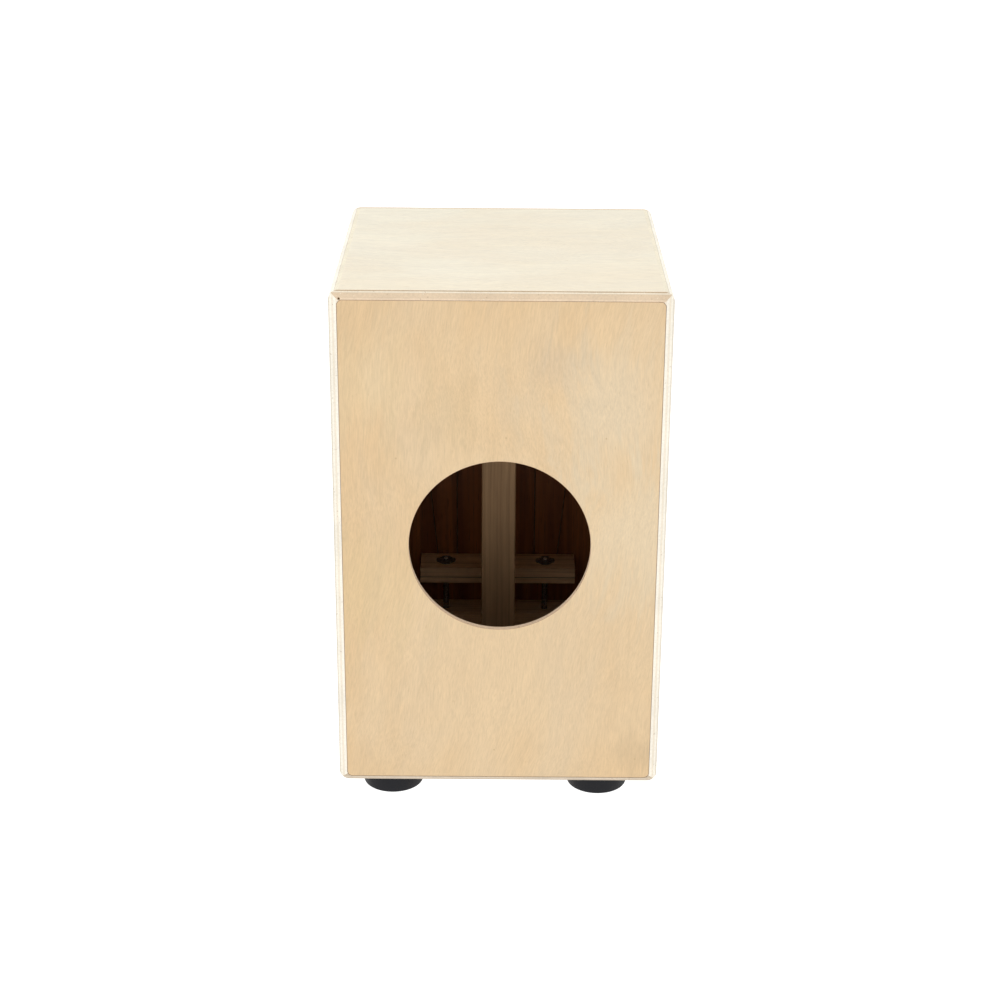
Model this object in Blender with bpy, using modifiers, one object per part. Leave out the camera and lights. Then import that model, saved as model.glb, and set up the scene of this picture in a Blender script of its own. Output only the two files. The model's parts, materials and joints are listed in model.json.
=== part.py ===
"""A string cajon: a birch box drum with a floating snare bar on two tension bolts.

Metres, +Z up. The origin is on the ground under the middle of the box. The playing panel
(tapa) faces -Y, and the rear panel with the sound hole faces +Y.
"""

import math

import bmesh
import bpy

# Overall size
WIDTH = 0.300
DEPTH = 0.300
BOX_HEIGHT = 0.480
FOOT_HEIGHT = 0.020
GAP = 0.0003

# Panels
SEAT_THICKNESS = 0.015
SIDE_THICKNESS = 0.013
BASE_THICKNESS = 0.009
TAPA_THICKNESS = 0.003
REAR_THICKNESS = 0.006
EDGE_RADIUS = 0.009
REBATE_WIDTH = 0.006
REAR_CORNER_RADIUS = 0.005
SOUND_HOLE_RADIUS = 0.0825

# Levels and faces
HALF_WIDTH = WIDTH / 2
FRONT_Y = -DEPTH / 2
REAR_Y = DEPTH / 2
BASE_Z = FOOT_HEIGHT
TOP_Z = BASE_Z + BOX_HEIGHT
FLOOR_Z = BASE_Z + BASE_THICKNESS
CEILING_Z = TOP_Z - SEAT_THICKNESS
TAPA_INNER_Y = FRONT_Y + TAPA_THICKNESS
SHELL_FRONT_Y = TAPA_INNER_Y + GAP
SOUND_HOLE_Z = BASE_Z + BOX_HEIGHT / 2

# Snare mechanism
POST_WIDTH = 0.033
POST_DEPTH = 0.020
POST_X = 0.0012
BAR_LENGTH = 0.162
BAR_X = 0.002
BAR_DEPTH = 0.0385
BAR_THICKNESS = 0.017
BAR_FRONT_Y = -0.1430
BAR_TOP_Z = BASE_Z + 0.1073
BLOCK_LENGTH = 0.166
BLOCK_DEPTH = 0.034
BLOCK_TOP_Z = BASE_Z + 0.054
RAIL_LENGTH = 0.230
RAIL_DEPTH = 0.020
RAIL_HEIGHT = 0.018
MECHANISM_X = 0.0042
BOLT_SPREAD = 0.0522
BOLT_Y = -0.1238
BOLT_RADIUS = 0.0030
BOLT_LENGTH = 0.114
BOLT_HOLE_RADIUS = 0.0036
BOLT_HEAD_RADIUS = 0.0050
BOLT_HEAD_HEIGHT = 0.0050
BOLT_CHAMFER = 0.0006
HEX_SOCKET_RADIUS = 0.0023
HEX_SOCKET_DEPTH = 0.0028
BOLT_WASHER_RADIUS = 0.0090
BOLT_WASHER_THICKNESS = 0.0016
BAR_BOTTOM_Z = BAR_TOP_Z - BAR_THICKNESS
BOLT_WASHER_TOP_Z = BASE_Z - GAP
BOLT_SEAT_Z = BOLT_WASHER_TOP_Z - BOLT_WASHER_THICKNESS - GAP

# Claw nuts
NUT_FLANGE_RADIUS = 0.0100
NUT_FLANGE_THICKNESS = 0.0012
NUT_BARREL_RADIUS = 0.0039
NUT_BARREL_LENGTH = 0.0090
NUT_BORE_RADIUS = 0.0034
CLAW_COUNT = 4
CLAW_WIDTH = 0.0030
CLAW_THICKNESS = 0.0009
CLAW_LENGTH = 0.0048
CLAW_REACH = 0.0082

# Snare strings: (x at the snare bar, x at the rail), both from the middle of the mechanism
STRING_RUNS = {
    "left_outer": (-0.0645, -0.1000),
    "left_inner": (-0.0408, -0.0408),
    "right_inner": (0.0408, 0.0408),
    "right_outer": (0.0605, 0.0968),
}
STRING_RADIUS = 0.0006
STRING_PRESS_LENGTH = 0.020
STRING_EYE_STEPS = 9
STRING_SCREW_RADIUS = 0.0015
STRING_SCREW_LENGTH = 0.010
STRING_HEAD_RADIUS = 0.0031
STRING_HEAD_HEIGHT = 0.0014
STRING_EYE_RADIUS = STRING_SCREW_RADIUS + GAP + STRING_RADIUS
STRING_EYE_Y = BAR_FRONT_Y - GAP - STRING_RADIUS
STRING_TAPA_Y = TAPA_INNER_Y + GAP + STRING_RADIUS
LOWER_ANCHOR_Z = BAR_TOP_Z - 0.0095
UPPER_ANCHOR_Z = CEILING_Z - 0.0095

# Feet and screws
FOOT_RADIUS = 0.0285
FOOT_EDGE_RADIUS = 0.002
FOOT_SIDE_INSET = 0.052
FOOT_END_INSET = 0.037
FEET_SHIFT_X = 0.003
FOOT_RECESS_RADIUS = 0.0090
FOOT_RECESS_DEPTH = 0.0090
FOOT_SCREW_RADIUS = 0.0021
FOOT_SCREW_HEAD_RADIUS = 0.0045
FOOT_SCREW_HEAD_HEIGHT = 0.0028
FOOT_SCREW_TIP_Z = BASE_Z + 0.0075
FOOT_WASHER_RADIUS = 0.0070
FOOT_WASHER_THICKNESS = 0.0012
TAPA_SCREW_RADIUS = 0.0016
TAPA_SCREW_HEAD_RADIUS = 0.0036
TAPA_SCREW_HEAD_DEPTH = 0.0022
TAPA_SCREW_LENGTH = 0.0155
TAPA_SCREW_RECESS = 0.0001
SCREW_POINT_LENGTH = 0.003
TAPA_SCREW_END_INSET = 0.030
SIDE_SCREWS = 5
END_SCREWS = 2

ROUND_STEPS = 24
SMALL_STEPS = 12
HOLE_STEPS = 64
EDGE_STEPS = 4

# How far a cutter runs past the face it starts from, and the bevel on the inner timbers
OVERRUN = 0.002
TIMBER_BEVEL = 0.001

# Finishes: colour, roughness, metallic
BIRCH = ("birch_ply", (0.83, 0.68, 0.46), 0.50, 0.0)
VENEER = ("tapa_veneer", (0.29, 0.12, 0.06), 0.45, 0.0)
SOFTWOOD = ("softwood", (0.72, 0.52, 0.33), 0.60, 0.0)
RUBBER = ("black_rubber", (0.03, 0.03, 0.035), 0.65, 0.0)
ZINC = ("zinc_steel", (0.55, 0.55, 0.53), 0.35, 1.0)
STRING_STEEL = ("string_steel", (0.42, 0.40, 0.38), 0.30, 1.0)


def clear_scene():
    for obj in list(bpy.data.objects):
        bpy.data.objects.remove(obj)


def collection(name, hidden=False):
    made = bpy.data.collections.new(name)
    bpy.context.scene.collection.children.link(made)
    made.hide_render = hidden
    return made


def finish(spec):
    """The material of that finish, made on first use."""
    name, colour, roughness, metallic = spec
    found = bpy.data.materials.get(name)
    if found:
        return found
    made = bpy.data.materials.new(name)
    made.use_nodes = True
    shader = made.node_tree.nodes["Principled BSDF"]
    shader.inputs["Base Color"].default_value = (*colour, 1.0)
    shader.inputs["Roughness"].default_value = roughness
    shader.inputs["Metallic"].default_value = metallic
    return made


class Workshop:
    """Puts finished pieces and cutters in their collections."""

    def __init__(self):
        self.parts = collection("cajon")
        self.cutters = collection("cutters", hidden=True)
        self.frame = self.empty("cajon_frame", (0, 0, 0))

    def empty(self, name, place):
        made = bpy.data.objects.new(name, None)
        made.location = place
        self.parts.objects.link(made)
        return made

    def piece(self, name, data, spec, place=(0, 0, 0), rotation=(0, 0, 0), parent=None):
        """A named sub-part with its own finish, at a place in the cajon's frame."""
        made = bpy.data.objects.new(name, data)
        self.parts.objects.link(made)
        data.materials.append(finish(spec))
        holder = parent or self.frame
        made.parent = holder
        made.location = [place[i] - holder.location[i] for i in range(3)]
        made.rotation_euler = rotation
        return made

    def cutter(self, name, data, place=(0, 0, 0), rotation=(0, 0, 0), group=None):
        made = bpy.data.objects.new(name, data)
        (group or self.cutters).objects.link(made)
        made.location = place
        made.rotation_euler = rotation
        made.hide_render = True
        made.display_type = "WIRE"
        return made

    def cutter_group(self, name):
        made = bpy.data.collections.new(name)
        self.cutters.children.link(made)
        return made


# ---- shapes ----


def arc(centre_x, centre_z, radius, start, end, steps=EDGE_STEPS):
    """Points along an arc, its angles in degrees."""
    angles = [math.radians(start + (end - start) * i / steps) for i in range(steps + 1)]
    return [(centre_x + radius * math.cos(a), centre_z + radius * math.sin(a)) for a in angles]


def rounded_rectangle(left, bottom, right, top, radius):
    return (
        arc(right - radius, bottom + radius, radius, -90, 0)
        + arc(right - radius, top - radius, radius, 0, 90)
        + arc(left + radius, top - radius, radius, 90, 180)
        + arc(left + radius, bottom + radius, radius, 180, 270)
    )


def mirrored(points):
    """The points and, in the order that closes the outline, their mirror images across x = 0."""
    return points + [(-x, z) for x, z in reversed(points)]


def outline_mesh(name, points, thickness):
    """A flat outline in the local XY plane, made a solid with that thickness either side of it."""
    curve = bpy.data.curves.new(name, "CURVE")
    curve.dimensions = "2D"
    curve.fill_mode = "BOTH"
    curve.extrude = thickness / 2
    spline = curve.splines.new("POLY")
    spline.points.add(len(points) - 1)
    for point, (x, y) in zip(spline.points, points):
        point.co = (x, y, 0, 1)
    spline.use_cyclic_u = True
    guide = bpy.data.objects.new(name, curve)
    bpy.context.scene.collection.objects.link(guide)
    graph = bpy.context.evaluated_depsgraph_get()
    mesh = bpy.data.meshes.new_from_object(guide.evaluated_get(graph))
    bpy.data.objects.remove(guide)
    bpy.data.curves.remove(curve)
    weld(mesh)
    return mesh


def weld(mesh):
    """Joins the caps to the sides and turns every face outwards."""
    work = bmesh.new()
    work.from_mesh(mesh)
    bmesh.ops.remove_doubles(work, verts=work.verts, dist=1e-6)
    bmesh.ops.recalc_face_normals(work, faces=work.faces)
    work.to_mesh(mesh)
    work.free()


def box_mesh(name, size_x, size_y, size_z):
    mesh = bpy.data.meshes.new(name)
    work = bmesh.new()
    bmesh.ops.create_cube(work, size=1.0)
    bmesh.ops.scale(work, vec=(size_x, size_y, size_z), verts=work.verts)
    work.to_mesh(mesh)
    work.free()
    return mesh


def rod_mesh(name, radius, length, steps):
    """A cylinder about its local Z, with its lower end at the origin."""
    mesh = bpy.data.meshes.new(name)
    work = bmesh.new()
    bmesh.ops.create_cone(
        work, cap_ends=True, segments=steps, radius1=radius, radius2=radius, depth=length
    )
    bmesh.ops.translate(work, vec=(0, 0, length / 2), verts=work.verts)
    work.to_mesh(mesh)
    work.free()
    return mesh


def profile_mesh(name, profile, closed):
    """A (radius, height) profile as edges, for a Screw modifier about Z. It runs down the outer side."""
    mesh = bpy.data.meshes.new(name)
    edges = [(i, i + 1) for i in range(len(profile) - 1)]
    if closed:
        edges.append((len(profile) - 1, 0))
    mesh.from_pydata([(radius, 0, height) for radius, height in profile], edges, [])
    return mesh


def turn(obj, steps):
    """Turns a profile a full circle about its object's Z axis."""
    screw = obj.modifiers.new("Turn", "SCREW")
    screw.steps = steps
    screw.render_steps = steps
    screw.use_merge_vertices = True
    screw.merge_threshold = 1e-6


def cut(target, cutter, name="Cut"):
    """Takes a cutter, or every cutter in a collection, out of a piece."""
    modifier = target.modifiers.new(name, "BOOLEAN")
    modifier.operation = "DIFFERENCE"
    if isinstance(cutter, bpy.types.Collection):
        modifier.operand_type = "COLLECTION"
        modifier.collection = cutter
    else:
        modifier.object = cutter


def ease_edges(timber):
    bevel = timber.modifiers.new("Eased edges", "BEVEL")
    bevel.width = TIMBER_BEVEL
    bevel.segments = 1
    bevel.limit_method = "ANGLE"


# ---- where repeated pieces go ----


def bolt_places():
    return {
        "left": (MECHANISM_X - BOLT_SPREAD, BOLT_Y),
        "right": (MECHANISM_X + BOLT_SPREAD, BOLT_Y),
    }


def foot_places():
    x = HALF_WIDTH - FOOT_SIDE_INSET
    y = DEPTH / 2 - FOOT_END_INSET
    return {
        "front_left": (FEET_SHIFT_X - x, -y),
        "front_right": (FEET_SHIFT_X + x, -y),
        "rear_left": (FEET_SHIFT_X - x, y),
        "rear_right": (FEET_SHIFT_X + x, y),
    }


def tapa_screw_places():
    """Screws down the middle of each side panel's front edge, and along the seat's and the base's."""
    side_x = HALF_WIDTH - SIDE_THICKNESS / 2
    low = BASE_Z + TAPA_SCREW_END_INSET
    high = TOP_Z - TAPA_SCREW_END_INSET
    places = []
    for i in range(SIDE_SCREWS):
        z = low + (high - low) * i / (SIDE_SCREWS - 1)
        places += [(-side_x, z), (side_x, z)]
    for i in range(END_SCREWS):
        x = WIDTH * (i - (END_SCREWS - 1) / 2) / (END_SCREWS + 1)
        places += [(x, BASE_Z + BASE_THICKNESS / 2), (x, TOP_Z - SEAT_THICKNESS / 2)]
    return places


def string_screw_places():
    """(x, z) of each string's screw in the snare bar and in the rail, towards the middle of its string."""
    lower = {}
    upper = {}
    for name, (bar_x, rail_x) in STRING_RUNS.items():
        inward = math.copysign(STRING_EYE_RADIUS, bar_x)
        lower[name] = (MECHANISM_X + bar_x - inward, LOWER_ANCHOR_Z)
        upper[name] = (MECHANISM_X + rail_x - inward, UPPER_ANCHOR_Z)
    return lower, upper


# ---- the box ----


def corner_seam(x, z, angle):
    """A mitre's outer point, in the middle of the rounded edge."""
    return arc(x, z, EDGE_RADIUS, angle, angle, 1)[0]


def seat_outline():
    arc_x = HALF_WIDTH - EDGE_RADIUS
    arc_z = TOP_Z - EDGE_RADIUS
    seam_x, seam_z = corner_seam(arc_x, arc_z, 45)
    right = [(HALF_WIDTH - SIDE_THICKNESS - GAP, CEILING_Z), (seam_x - GAP, seam_z)]
    right += arc(arc_x, arc_z, EDGE_RADIUS, 45, 90)[1:]
    return mirrored(right)


def base_outline():
    arc_x = HALF_WIDTH - EDGE_RADIUS
    arc_z = BASE_Z + EDGE_RADIUS
    seam_x, seam_z = corner_seam(arc_x, arc_z, -45)
    right = arc(arc_x, arc_z, EDGE_RADIUS, -90, -45)[:-1]
    right += [(seam_x - GAP, seam_z), (HALF_WIDTH - SIDE_THICKNESS - GAP, FLOOR_Z)]
    return mirrored(right)


def right_side_outline():
    arc_x = HALF_WIDTH - EDGE_RADIUS
    inner_x = HALF_WIDTH - SIDE_THICKNESS
    lower = arc(arc_x, BASE_Z + EDGE_RADIUS, EDGE_RADIUS, -45, 0)
    upper = arc(arc_x, TOP_Z - EDGE_RADIUS, EDGE_RADIUS, 0, 45)
    return lower + upper + [(inner_x, CEILING_Z), (inner_x, FLOOR_Z)]


def shell_panel(shop, name, outline):
    """One wall of the box, its outline in XZ run from the tapa to the rear."""
    length = REAR_Y - SHELL_FRONT_Y
    mesh = outline_mesh(name, outline, length)
    place = (0, SHELL_FRONT_Y + length / 2, 0)
    return shop.piece(name, mesh, BIRCH, place, (math.pi / 2, 0, 0))


def rear_outline(clearance):
    """The rear panel's rounded outline in XZ, made smaller by the clearance."""
    side_x = HALF_WIDTH - SIDE_THICKNESS + REBATE_WIDTH - clearance
    bottom = FLOOR_Z - REBATE_WIDTH + clearance
    top = CEILING_Z + REBATE_WIDTH - clearance
    return rounded_rectangle(-side_x, bottom, side_x, top, REAR_CORNER_RADIUS)


def make_rear_panel(shop):
    mesh = outline_mesh("rear_panel", rear_outline(GAP), REAR_THICKNESS)
    place = (0, REAR_Y - REAR_THICKNESS / 2, 0)
    panel = shop.piece("rear_panel", mesh, BIRCH, place, (math.pi / 2, 0, 0))
    hole_length = 4 * REAR_THICKNESS
    hole = shop.cutter(
        "sound_hole_cutter",
        rod_mesh("sound_hole_cutter", SOUND_HOLE_RADIUS, hole_length, HOLE_STEPS),
        (0, REAR_Y + hole_length / 2, SOUND_HOLE_Z),
        (math.pi / 2, 0, 0),
    )
    cut(panel, hole, "Sound hole")


def rebate_cutter(shop):
    """The recess in the rear edges of all four walls that the rear panel lies in."""
    depth = REAR_THICKNESS + GAP
    length = depth + OVERRUN
    mesh = outline_mesh("rebate_cutter", rear_outline(0.0), length)
    place = (0, REAR_Y - depth + length / 2, 0)
    return shop.cutter("rebate_cutter", mesh, place, (math.pi / 2, 0, 0))


def tapa_screw_profile(clearance=0.0, front_overrun=0.0):
    """Countersunk head up at z = 0, shank down. The hole's profile has a clearance all round."""
    head = TAPA_SCREW_HEAD_RADIUS + clearance
    shank = TAPA_SCREW_RADIUS + clearance
    tip = -TAPA_SCREW_LENGTH - clearance
    start = [(0, front_overrun), (head, front_overrun)] if front_overrun else [(0, 0)]
    return start + [
        (head, 0),
        (shank, -TAPA_SCREW_HEAD_DEPTH),
        (shank, tip + SCREW_POINT_LENGTH),
        (0, tip),
    ]


def make_tapa(shop):
    outline = rounded_rectangle(-HALF_WIDTH, BASE_Z, HALF_WIDTH, TOP_Z, EDGE_RADIUS)
    mesh = outline_mesh("tapa", outline, TAPA_THICKNESS)
    place = (0, FRONT_Y + TAPA_THICKNESS / 2, 0)
    return shop.piece("tapa", mesh, VENEER, place, (math.pi / 2, 0, 0))


def make_tapa_screws(shop):
    """The screws, and the group of holes that they sit in."""
    holes = shop.cutter_group("tapa_screw_holes")
    screw_profile = profile_mesh("tapa_screw", tapa_screw_profile(), closed=False)
    hole_profile = profile_mesh("tapa_screw_hole", tapa_screw_profile(GAP, OVERRUN), closed=False)
    for number, (x, z) in enumerate(tapa_screw_places(), start=1):
        place = (x, FRONT_Y + TAPA_SCREW_RECESS, z)
        facing = (math.pi / 2, 0, 0)
        screw = shop.piece(f"tapa_screw_{number:02d}", screw_profile.copy(), ZINC, place, facing)
        turn(screw, SMALL_STEPS)
        hole = shop.cutter(f"tapa_screw_hole_{number:02d}", hole_profile, place, facing, holes)
        turn(hole, SMALL_STEPS)
    return holes


def make_box(shop):
    seat = shell_panel(shop, "seat_panel", seat_outline())
    base = shell_panel(shop, "base_panel", base_outline())
    right_outline = right_side_outline()
    right = shell_panel(shop, "right_side_panel", right_outline)
    left = shell_panel(shop, "left_side_panel", [(-x, z) for x, z in reversed(right_outline)])
    tapa = make_tapa(shop)
    make_rear_panel(shop)
    rebate = rebate_cutter(shop)
    screw_holes = make_tapa_screws(shop)
    for panel in (seat, base, left, right):
        cut(panel, rebate, "Rear rebate")
    for panel in (seat, base, left, right, tapa):
        cut(panel, screw_holes, "Tapa screw holes")
    return base


# ---- inside ----


def make_post(shop):
    height = CEILING_Z - FLOOR_Z - 2 * GAP
    mesh = box_mesh("centre_post", POST_WIDTH, POST_DEPTH, height)
    place = (POST_X, 0, FLOOR_Z + GAP + height / 2)
    post = shop.piece("centre_post", mesh, SOFTWOOD, place)
    ease_edges(post)


def bolt_hole_cutters(shop, name, radius, low, high):
    """A round hole on each bolt's axis, from one level to another."""
    group = shop.cutter_group(name)
    mesh = rod_mesh(name, radius, high - low, SMALL_STEPS)
    for side, (x, y) in bolt_places().items():
        shop.cutter(f"{name}_{side}", mesh, (x, y, low), group=group)
    return group


def make_tension_block(shop):
    """The block glued to the base, which guides the bolts."""
    height = BLOCK_TOP_Z - FLOOR_Z - GAP
    mesh = box_mesh("tension_block", BLOCK_LENGTH, BLOCK_DEPTH, height)
    place = (0, BAR_FRONT_Y + BLOCK_DEPTH / 2, BLOCK_TOP_Z - height / 2)
    block = shop.piece("tension_block", mesh, SOFTWOOD, place)
    ease_edges(block)
    return block


def make_string_rail(shop, screw_holes):
    mesh = box_mesh("string_rail", RAIL_LENGTH, RAIL_DEPTH, RAIL_HEIGHT)
    place = (MECHANISM_X, BAR_FRONT_Y + RAIL_DEPTH / 2, CEILING_Z - GAP - RAIL_HEIGHT / 2)
    rail = shop.piece("string_rail", mesh, SOFTWOOD, place)
    ease_edges(rail)
    cut(rail, screw_holes, "String screw holes")


def make_snare_bar(shop, carriage, screw_holes):
    mesh = box_mesh("snare_bar", BAR_LENGTH, BAR_DEPTH, BAR_THICKNESS)
    place = tuple(carriage.location)
    bar = shop.piece("snare_bar", mesh, SOFTWOOD, place, parent=carriage)
    ease_edges(bar)
    low = BAR_BOTTOM_Z - OVERRUN
    high = BAR_TOP_Z + OVERRUN
    nut_holes = bolt_hole_cutters(shop, "nut_holes", NUT_BARREL_RADIUS + GAP, low, high)
    cut(bar, nut_holes, "Nut holes")
    cut(bar, claw_slots(shop), "Claw slots")
    cut(bar, screw_holes, "String screw holes")


def claw_places(clearance):
    """Size and (x, y, turn) of each claw about a nut's axis."""
    size = (CLAW_THICKNESS + 2 * clearance, CLAW_WIDTH + 2 * clearance)
    turns = [math.radians(45 + 360 * i / CLAW_COUNT) for i in range(CLAW_COUNT)]
    return size, [(CLAW_REACH * math.cos(a), CLAW_REACH * math.sin(a), a) for a in turns]


def claw_slots(shop):
    group = shop.cutter_group("claw_slots")
    size, places = claw_places(GAP)
    height = CLAW_LENGTH + GAP + OVERRUN
    mesh = box_mesh("claw_slot", *size, height)
    for side, (nut_x, nut_y) in bolt_places().items():
        for number, (x, y, angle) in enumerate(places, start=1):
            place = (nut_x + x, nut_y + y, BAR_TOP_Z + OVERRUN - height / 2)
            shop.cutter(f"claw_slot_{side}_{number}", mesh, place, (0, 0, angle), group)
    return group


def make_claw_nuts(shop, carriage):
    """Each nut is a flanged barrel, turned, with four claws joined under its flange."""
    flange_z = BAR_TOP_Z + GAP
    profile = [
        (NUT_BORE_RADIUS, NUT_FLANGE_THICKNESS),
        (NUT_FLANGE_RADIUS, NUT_FLANGE_THICKNESS),
        (NUT_FLANGE_RADIUS, 0),
        (NUT_BARREL_RADIUS, 0),
        (NUT_BARREL_RADIUS, -NUT_BARREL_LENGTH),
        (NUT_BORE_RADIUS, -NUT_BARREL_LENGTH),
    ]
    size, places = claw_places(0.0)
    height = CLAW_LENGTH + NUT_FLANGE_THICKNESS / 2
    claw_mesh = box_mesh("claw", *size, height)
    for side, (nut_x, nut_y) in bolt_places().items():
        mesh = profile_mesh(f"{side}_claw_nut", profile, closed=True)
        place = (nut_x, nut_y, flange_z)
        nut = shop.piece(f"{side}_claw_nut", mesh, ZINC, place, parent=carriage)
        turn(nut, SMALL_STEPS * 2)
        claws = shop.cutter_group(f"{side}_claws")
        for number, (x, y, angle) in enumerate(places, start=1):
            claw_place = (nut_x + x, nut_y + y, flange_z + NUT_FLANGE_THICKNESS / 2 - height / 2)
            shop.cutter(f"{side}_claw_{number}", claw_mesh, claw_place, (0, 0, angle), claws)
        union = nut.modifiers.new("Claws", "BOOLEAN")
        union.operation = "UNION"
        union.operand_type = "COLLECTION"
        union.collection = claws


def make_bolts(shop):
    """Cap-head bolts from below the base up into the claw nuts, each with its origin on its axis."""
    profile = [
        (0, BOLT_LENGTH),
        (BOLT_RADIUS - BOLT_CHAMFER, BOLT_LENGTH),
        (BOLT_RADIUS, BOLT_LENGTH - BOLT_CHAMFER),
        (BOLT_RADIUS, 0),
        (BOLT_HEAD_RADIUS, 0),
        (BOLT_HEAD_RADIUS, BOLT_CHAMFER - BOLT_HEAD_HEIGHT),
        (BOLT_HEAD_RADIUS - BOLT_CHAMFER, -BOLT_HEAD_HEIGHT),
        (0, -BOLT_HEAD_HEIGHT),
    ]
    socket_mesh = rod_mesh("hex_socket", HEX_SOCKET_RADIUS, 2 * HEX_SOCKET_DEPTH, 6)
    for side, (x, y) in bolt_places().items():
        name = f"{side}_tension_bolt"
        bolt = shop.piece(name, profile_mesh(name, profile, closed=False), ZINC, (x, y, BOLT_SEAT_Z))
        turn(bolt, SMALL_STEPS)
        socket_z = BOLT_SEAT_Z - BOLT_HEAD_HEIGHT - HEX_SOCKET_DEPTH
        socket = shop.cutter(f"{side}_hex_socket", socket_mesh, (x, y, socket_z))
        cut(bolt, socket, "Hex socket")


def ring_profile(outer, inner, thickness):
    return [(outer, thickness), (outer, 0), (inner, 0), (inner, thickness)]


def make_bolt_washers(shop):
    profile = ring_profile(BOLT_WASHER_RADIUS, BOLT_HOLE_RADIUS, BOLT_WASHER_THICKNESS)
    for side, (x, y) in bolt_places().items():
        name = f"{side}_bolt_washer"
        place = (x, y, BOLT_WASHER_TOP_Z - BOLT_WASHER_THICKNESS)
        washer = shop.piece(name, profile_mesh(name, profile, closed=True), ZINC, place)
        turn(washer, SMALL_STEPS)


def string_screw_profile():
    """Pan head up, its underside at z = 0, shank down."""
    return [
        (0, STRING_HEAD_HEIGHT),
        (STRING_HEAD_RADIUS * 0.75, STRING_HEAD_HEIGHT),
        (STRING_HEAD_RADIUS, STRING_HEAD_HEIGHT * 0.5),
        (STRING_HEAD_RADIUS, 0),
        (STRING_SCREW_RADIUS, 0),
        (STRING_SCREW_RADIUS, SCREW_POINT_LENGTH - STRING_SCREW_LENGTH),
        (0, -STRING_SCREW_LENGTH),
    ]


def make_string_screws(shop, level, places, parent):
    """Pan-head screws that hold the strings' eyes, and the group of holes for them."""
    holes = shop.cutter_group(f"{level}_string_screw_holes")
    hole_mesh = rod_mesh(
        f"{level}_string_screw_hole",
        STRING_SCREW_RADIUS + GAP,
        STRING_SCREW_LENGTH + OVERRUN,
        SMALL_STEPS,
    )
    head_y = STRING_EYE_Y - STRING_RADIUS - GAP
    facing = (math.pi / 2, 0, 0)
    for name, (x, z) in places.items():
        label = f"{name}_string_{level}_screw"
        mesh = profile_mesh(label, string_screw_profile(), closed=False)
        screw = shop.piece(label, mesh, ZINC, (x, head_y, z), facing, parent)
        turn(screw, SMALL_STEPS)
        hole_y = head_y + STRING_SCREW_LENGTH + GAP
        shop.cutter(f"{label}_hole", hole_mesh, (x, hole_y, z), facing, holes)
    return holes


def eye(centre_x, centre_z, side, upper):
    """(x, z) points of a wire eye, from where the string enters it. side is 1 or -1, the string's side."""
    turned_by = 270 if upper else -270
    steps = [turned_by * i / STRING_EYE_STEPS for i in range(STRING_EYE_STEPS + 1)]
    return [
        (
            centre_x + side * STRING_EYE_RADIUS * math.cos(math.radians(a)),
            centre_z + STRING_EYE_RADIUS * math.sin(math.radians(a)),
        )
        for a in steps
    ]


def string_route(name, lower, upper):
    """From the lower eye up along the tapa's inner face to the upper eye."""
    side = math.copysign(1, STRING_RUNS[name][0])
    low_eye = eye(*lower[name], side, upper=False)
    high_eye = eye(*upper[name], side, upper=True)
    (low_x, low_z), (high_x, high_z) = low_eye[0], high_eye[0]
    slope = (high_x - low_x) / (high_z - low_z)
    points = [(x, STRING_EYE_Y, z) for x, z in reversed(low_eye)]
    rise = STRING_PRESS_LENGTH
    points.append((low_x + slope * rise, STRING_TAPA_Y, low_z + rise))
    points.append((high_x - slope * rise, STRING_TAPA_Y, high_z - rise))
    points += [(x, STRING_EYE_Y, z) for x, z in high_eye]
    return points


def make_strings(shop, lower, upper):
    for name in STRING_RUNS:
        curve = bpy.data.curves.new(f"{name}_string", "CURVE")
        curve.dimensions = "3D"
        curve.bevel_depth = STRING_RADIUS
        curve.bevel_resolution = 1
        curve.use_fill_caps = True
        spline = curve.splines.new("POLY")
        points = string_route(name, lower, upper)
        spline.points.add(len(points) - 1)
        for point, (x, y, z) in zip(spline.points, points):
            point.co = (x, y, z, 1)
        shop.piece(f"{name}_string", curve, STRING_STEEL)


def make_snare(shop, base):
    """The whole string mechanism: what rides on the snare bar is parented to its carriage."""
    bar_place = (BAR_X, BAR_FRONT_Y + BAR_DEPTH / 2, BAR_TOP_Z - BAR_THICKNESS / 2)
    carriage = shop.empty("snare_bar_carriage", bar_place)
    lower, upper = string_screw_places()
    lower_holes = make_string_screws(shop, "lower", lower, carriage)
    upper_holes = make_string_screws(shop, "upper", upper, None)
    make_snare_bar(shop, carriage, lower_holes)
    make_claw_nuts(shop, carriage)
    make_string_rail(shop, upper_holes)
    make_strings(shop, lower, upper)
    make_bolts(shop)
    make_bolt_washers(shop)
    block = make_tension_block(shop)
    low = BASE_Z - OVERRUN
    high = BLOCK_TOP_Z + OVERRUN
    bolt_holes = bolt_hole_cutters(shop, "bolt_holes", BOLT_HOLE_RADIUS, low, high)
    cut(block, bolt_holes, "Bolt holes")
    cut(base, bolt_holes, "Bolt holes")


# ---- feet ----


def foot_profile():
    """A rubber disc with a soft lower edge, a screw hole and a recess for the screw's head."""
    top = FOOT_HEIGHT - GAP
    hole = FOOT_SCREW_RADIUS + GAP
    rim = arc(FOOT_RADIUS - FOOT_EDGE_RADIUS, FOOT_EDGE_RADIUS, FOOT_EDGE_RADIUS, 0, -90, 3)
    return (
        [(hole, top), (FOOT_RADIUS, top)]
        + rim
        + [(FOOT_RECESS_RADIUS, 0), (FOOT_RECESS_RADIUS, FOOT_RECESS_DEPTH), (hole, FOOT_RECESS_DEPTH)]
    )


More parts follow.
